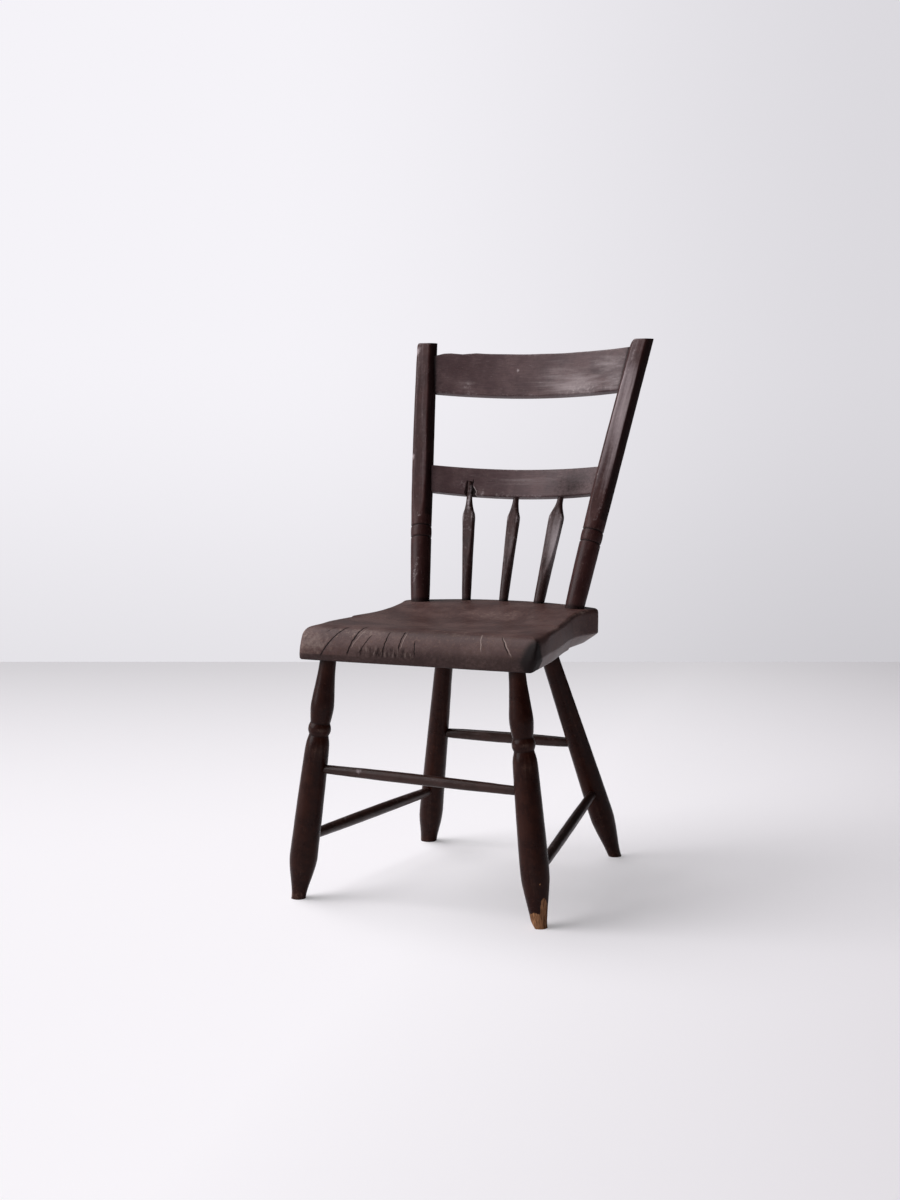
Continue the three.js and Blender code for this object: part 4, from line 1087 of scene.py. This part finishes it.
# %% The floor
AZIMUTH, ELEVATION = 23.2169, 5.9501
across_view = Vector((math.cos(math.radians(AZIMUTH)), math.sin(math.radians(AZIMUTH)), 0))
toward_view = Vector((math.sin(math.radians(AZIMUTH)), -math.cos(math.radians(AZIMUTH)), 0))
FLOOR_BACK, FLOOR_FRONT, FLOOR_SIDE = 2.45, 40.0, 40.0
PLAIN_SHARE = 0.30
floor_mesh = bpy.data.meshes.new("floor")
corners = [(-FLOOR_BACK, -FLOOR_SIDE), (FLOOR_FRONT, -FLOOR_SIDE), (FLOOR_FRONT, FLOOR_SIDE),
           (-FLOOR_BACK, FLOOR_SIDE)]
floor_mesh.from_pydata([toward_view * u + across_view * v for u, v in corners], [], [(0, 1, 2, 3)])
floor = bpy.data.objects.new("floor", floor_mesh)
bpy.context.scene.collection.objects.link(floor)
floor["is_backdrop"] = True
paper = bpy.data.materials.new("matt_white_floor")
paper.use_nodes = True
tree = paper.node_tree
tree.nodes.clear()
spot = add(tree, "TexCoord", out="Object")
from_window = add(tree, "VectorMath", DOT, out="Value",
                  _0=spot, _1=tuple(across_view + toward_view * 0.30))
away = add(tree, "VectorMath", DOT, out="Value", _0=spot, _1=tuple(-toward_view))
# Painted light: the floor's colour darkens to the right and toward its far edge, a painted falloff of the
# window's light.
side_fade = add(tree, "MapRange", _0=from_window, _1=0.0, _2=1.4)
far_fade = add(tree, "MapRange", SMOOTH, _0=away, _1=0.0, _2=3.6, _3=1.0, _4=0.59)
white = add(tree, "Mix", RGB, out=2, _0=side_fade, _6=paint_mix("#fbf8fa"), _7=paint_mix("#cfcbce"))
white = add(tree, "VectorMath", SCALE, _0=white, Scale=far_fade)
matt = add(tree, "BsdfDiffuse", Color=white)
plain = add(tree, "Emission", Color=white, Strength=1.0)
seen = add(tree, "LightPath", out="Is Camera Ray")
part = add(tree, "Math", TIMES, _0=seen, _1=PLAIN_SHARE)
both = add(tree, "MixShader", _0=part, _1=matt, _2=plain)
add(tree, "OutputMaterial", Surface=both)
floor_mesh.materials.append(paper)
print("floor:", [round(v, 2) for v in floor.dimensions[:2]])

# %% [markdown]
# ## Light
# The photograph's light is wide and soft: a window low on the left and a skylight high on the left, a little
# behind. Left edges are bright, right sides fall almost to black, each leg's shadow lies far to the right,
# and the seat's lies close beside the chair. Two sun lamps with wide angles give that, and the floor stays
# evenly lit. The world gives only a dim fill, stronger from the window's side.

# %% Lamps and world
def soft_light(name, up, toward, wide, energy):
    """A wide sun lamp: degrees above the floor and toward the camera from the left, and its own width."""
    up, side = math.radians(up), math.radians(toward)
    level_way = -across_view * math.cos(side) + toward_view * math.sin(side)
    source = level_way * math.cos(up) + Vector((0, 0, math.sin(up)))
    lamp = bpy.data.objects.new(name, bpy.data.lights.new(name, "SUN"))
    lamp.data.energy, lamp.data.angle = energy, math.radians(wide)
    lamp.data.color = paint_mix("#fdfcff")[:3]
    lamp.rotation_euler = source.to_track_quat("Z", "Y").to_euler()
    bpy.context.scene.collection.objects.link(lamp)
    print(name, "comes from", [round(v, 2) for v in source])


soft_light("low_window", up=27.0, toward=10.0, wide=46.0, energy=2.3)
soft_light("skylight", up=60.0, toward=-25.0, wide=48.0, energy=1.6)
world = bpy.data.worlds.new("pale_room")
bpy.context.scene.world = world
world.use_nodes = True
sky = world.node_tree
sky.nodes.clear()
toward = add(sky, "TexCoord", out="Generated")
seen = add(sky, "LightPath", out="Is Camera Ray")
from_left = add(sky, "VectorMath", DOT, out="Value", _0=toward, _1=tuple(-across_view))
fill = add(sky, "MapRange", SMOOTH, _0=from_left, _1=-0.5, _2=0.9, _3=0.04, _4=0.56)
height = add(sky, "SeparateXYZ", out=2, _0=toward)
strength = add(sky, "Mix", {"data_type": "FLOAT"}, _0=seen, _2=fill, _3=1.0)
# Painted light: the backdrop's colour darkens to the right, a painted falloff, and at its foot, a painted
# shade.
wall_fade = add(sky, "MapRange", SMOOTH, _0=from_left, _1=-0.30, _2=0.12)
wall = add(sky, "Mix", RGB, out=2, _0=wall_fade, _6=paint_mix("#dad8dd"), _7=paint_mix("#f5f3f8"))
low_fade = add(sky, "MapRange", SMOOTH, _0=height, _1=-0.20, _2=0.05, _3=0.83, _4=1.0)
wall = add(sky, "VectorMath", SCALE, _0=wall, Scale=low_fade)
colour = add(sky, "Mix", RGB, out=2, _0=seen, _6=paint_mix("#eef1f6"), _7=wall)
room = add(sky, "Background", Color=colour, Strength=strength)
add(sky, "OutputWorld", Surface=room)
print("world:", world.name)

# %% [markdown]
# ## Camera
# The camera stands where the photographer stood, found by laying the model over the photograph. A 50 mm
# lens on a 36 mm long side gives its perspective, with no shift.

# %% The camera
camera = bpy.data.objects.new("camera", bpy.data.cameras.new("camera"))
bpy.context.scene.collection.objects.link(camera)
camera.location = (1.00878, -2.46871, 0.72595)
a, e = math.radians(AZIMUTH), math.radians(ELEVATION)
facing = Vector((math.sin(a) * math.cos(e), -math.cos(a) * math.cos(e), math.sin(e)))
camera.rotation_mode = "QUATERNION"
camera.rotation_quaternion = (-facing).to_track_quat("-Z", "Y")
camera.data.lens, camera.data.sensor_width, camera.data.sensor_fit = 50.0, 36.0, "AUTO"
bpy.context.scene.camera = camera
bpy.context.scene.view_settings.view_transform = "Standard"
print("camera looks along", [round(v, 3) for v in -facing])

# %% [markdown]
# ## Sizes, and the end
# The dressed chair is meant to stay within the CAD model's box; how far its box grew past that one is
# printed, with the count of triangles in all.

# %% Print how far the box grew, and finish
made_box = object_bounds()
grown = np.array([list(c) for c in made_box]) - np.array([list(c) for c in cad_box])
print("grew by, mm:", (grown * 1000).round(1).tolist())
total = sum(len(p.vertices) - 2 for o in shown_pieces() for p in o.data.polygons)
print("triangles in all:", total)
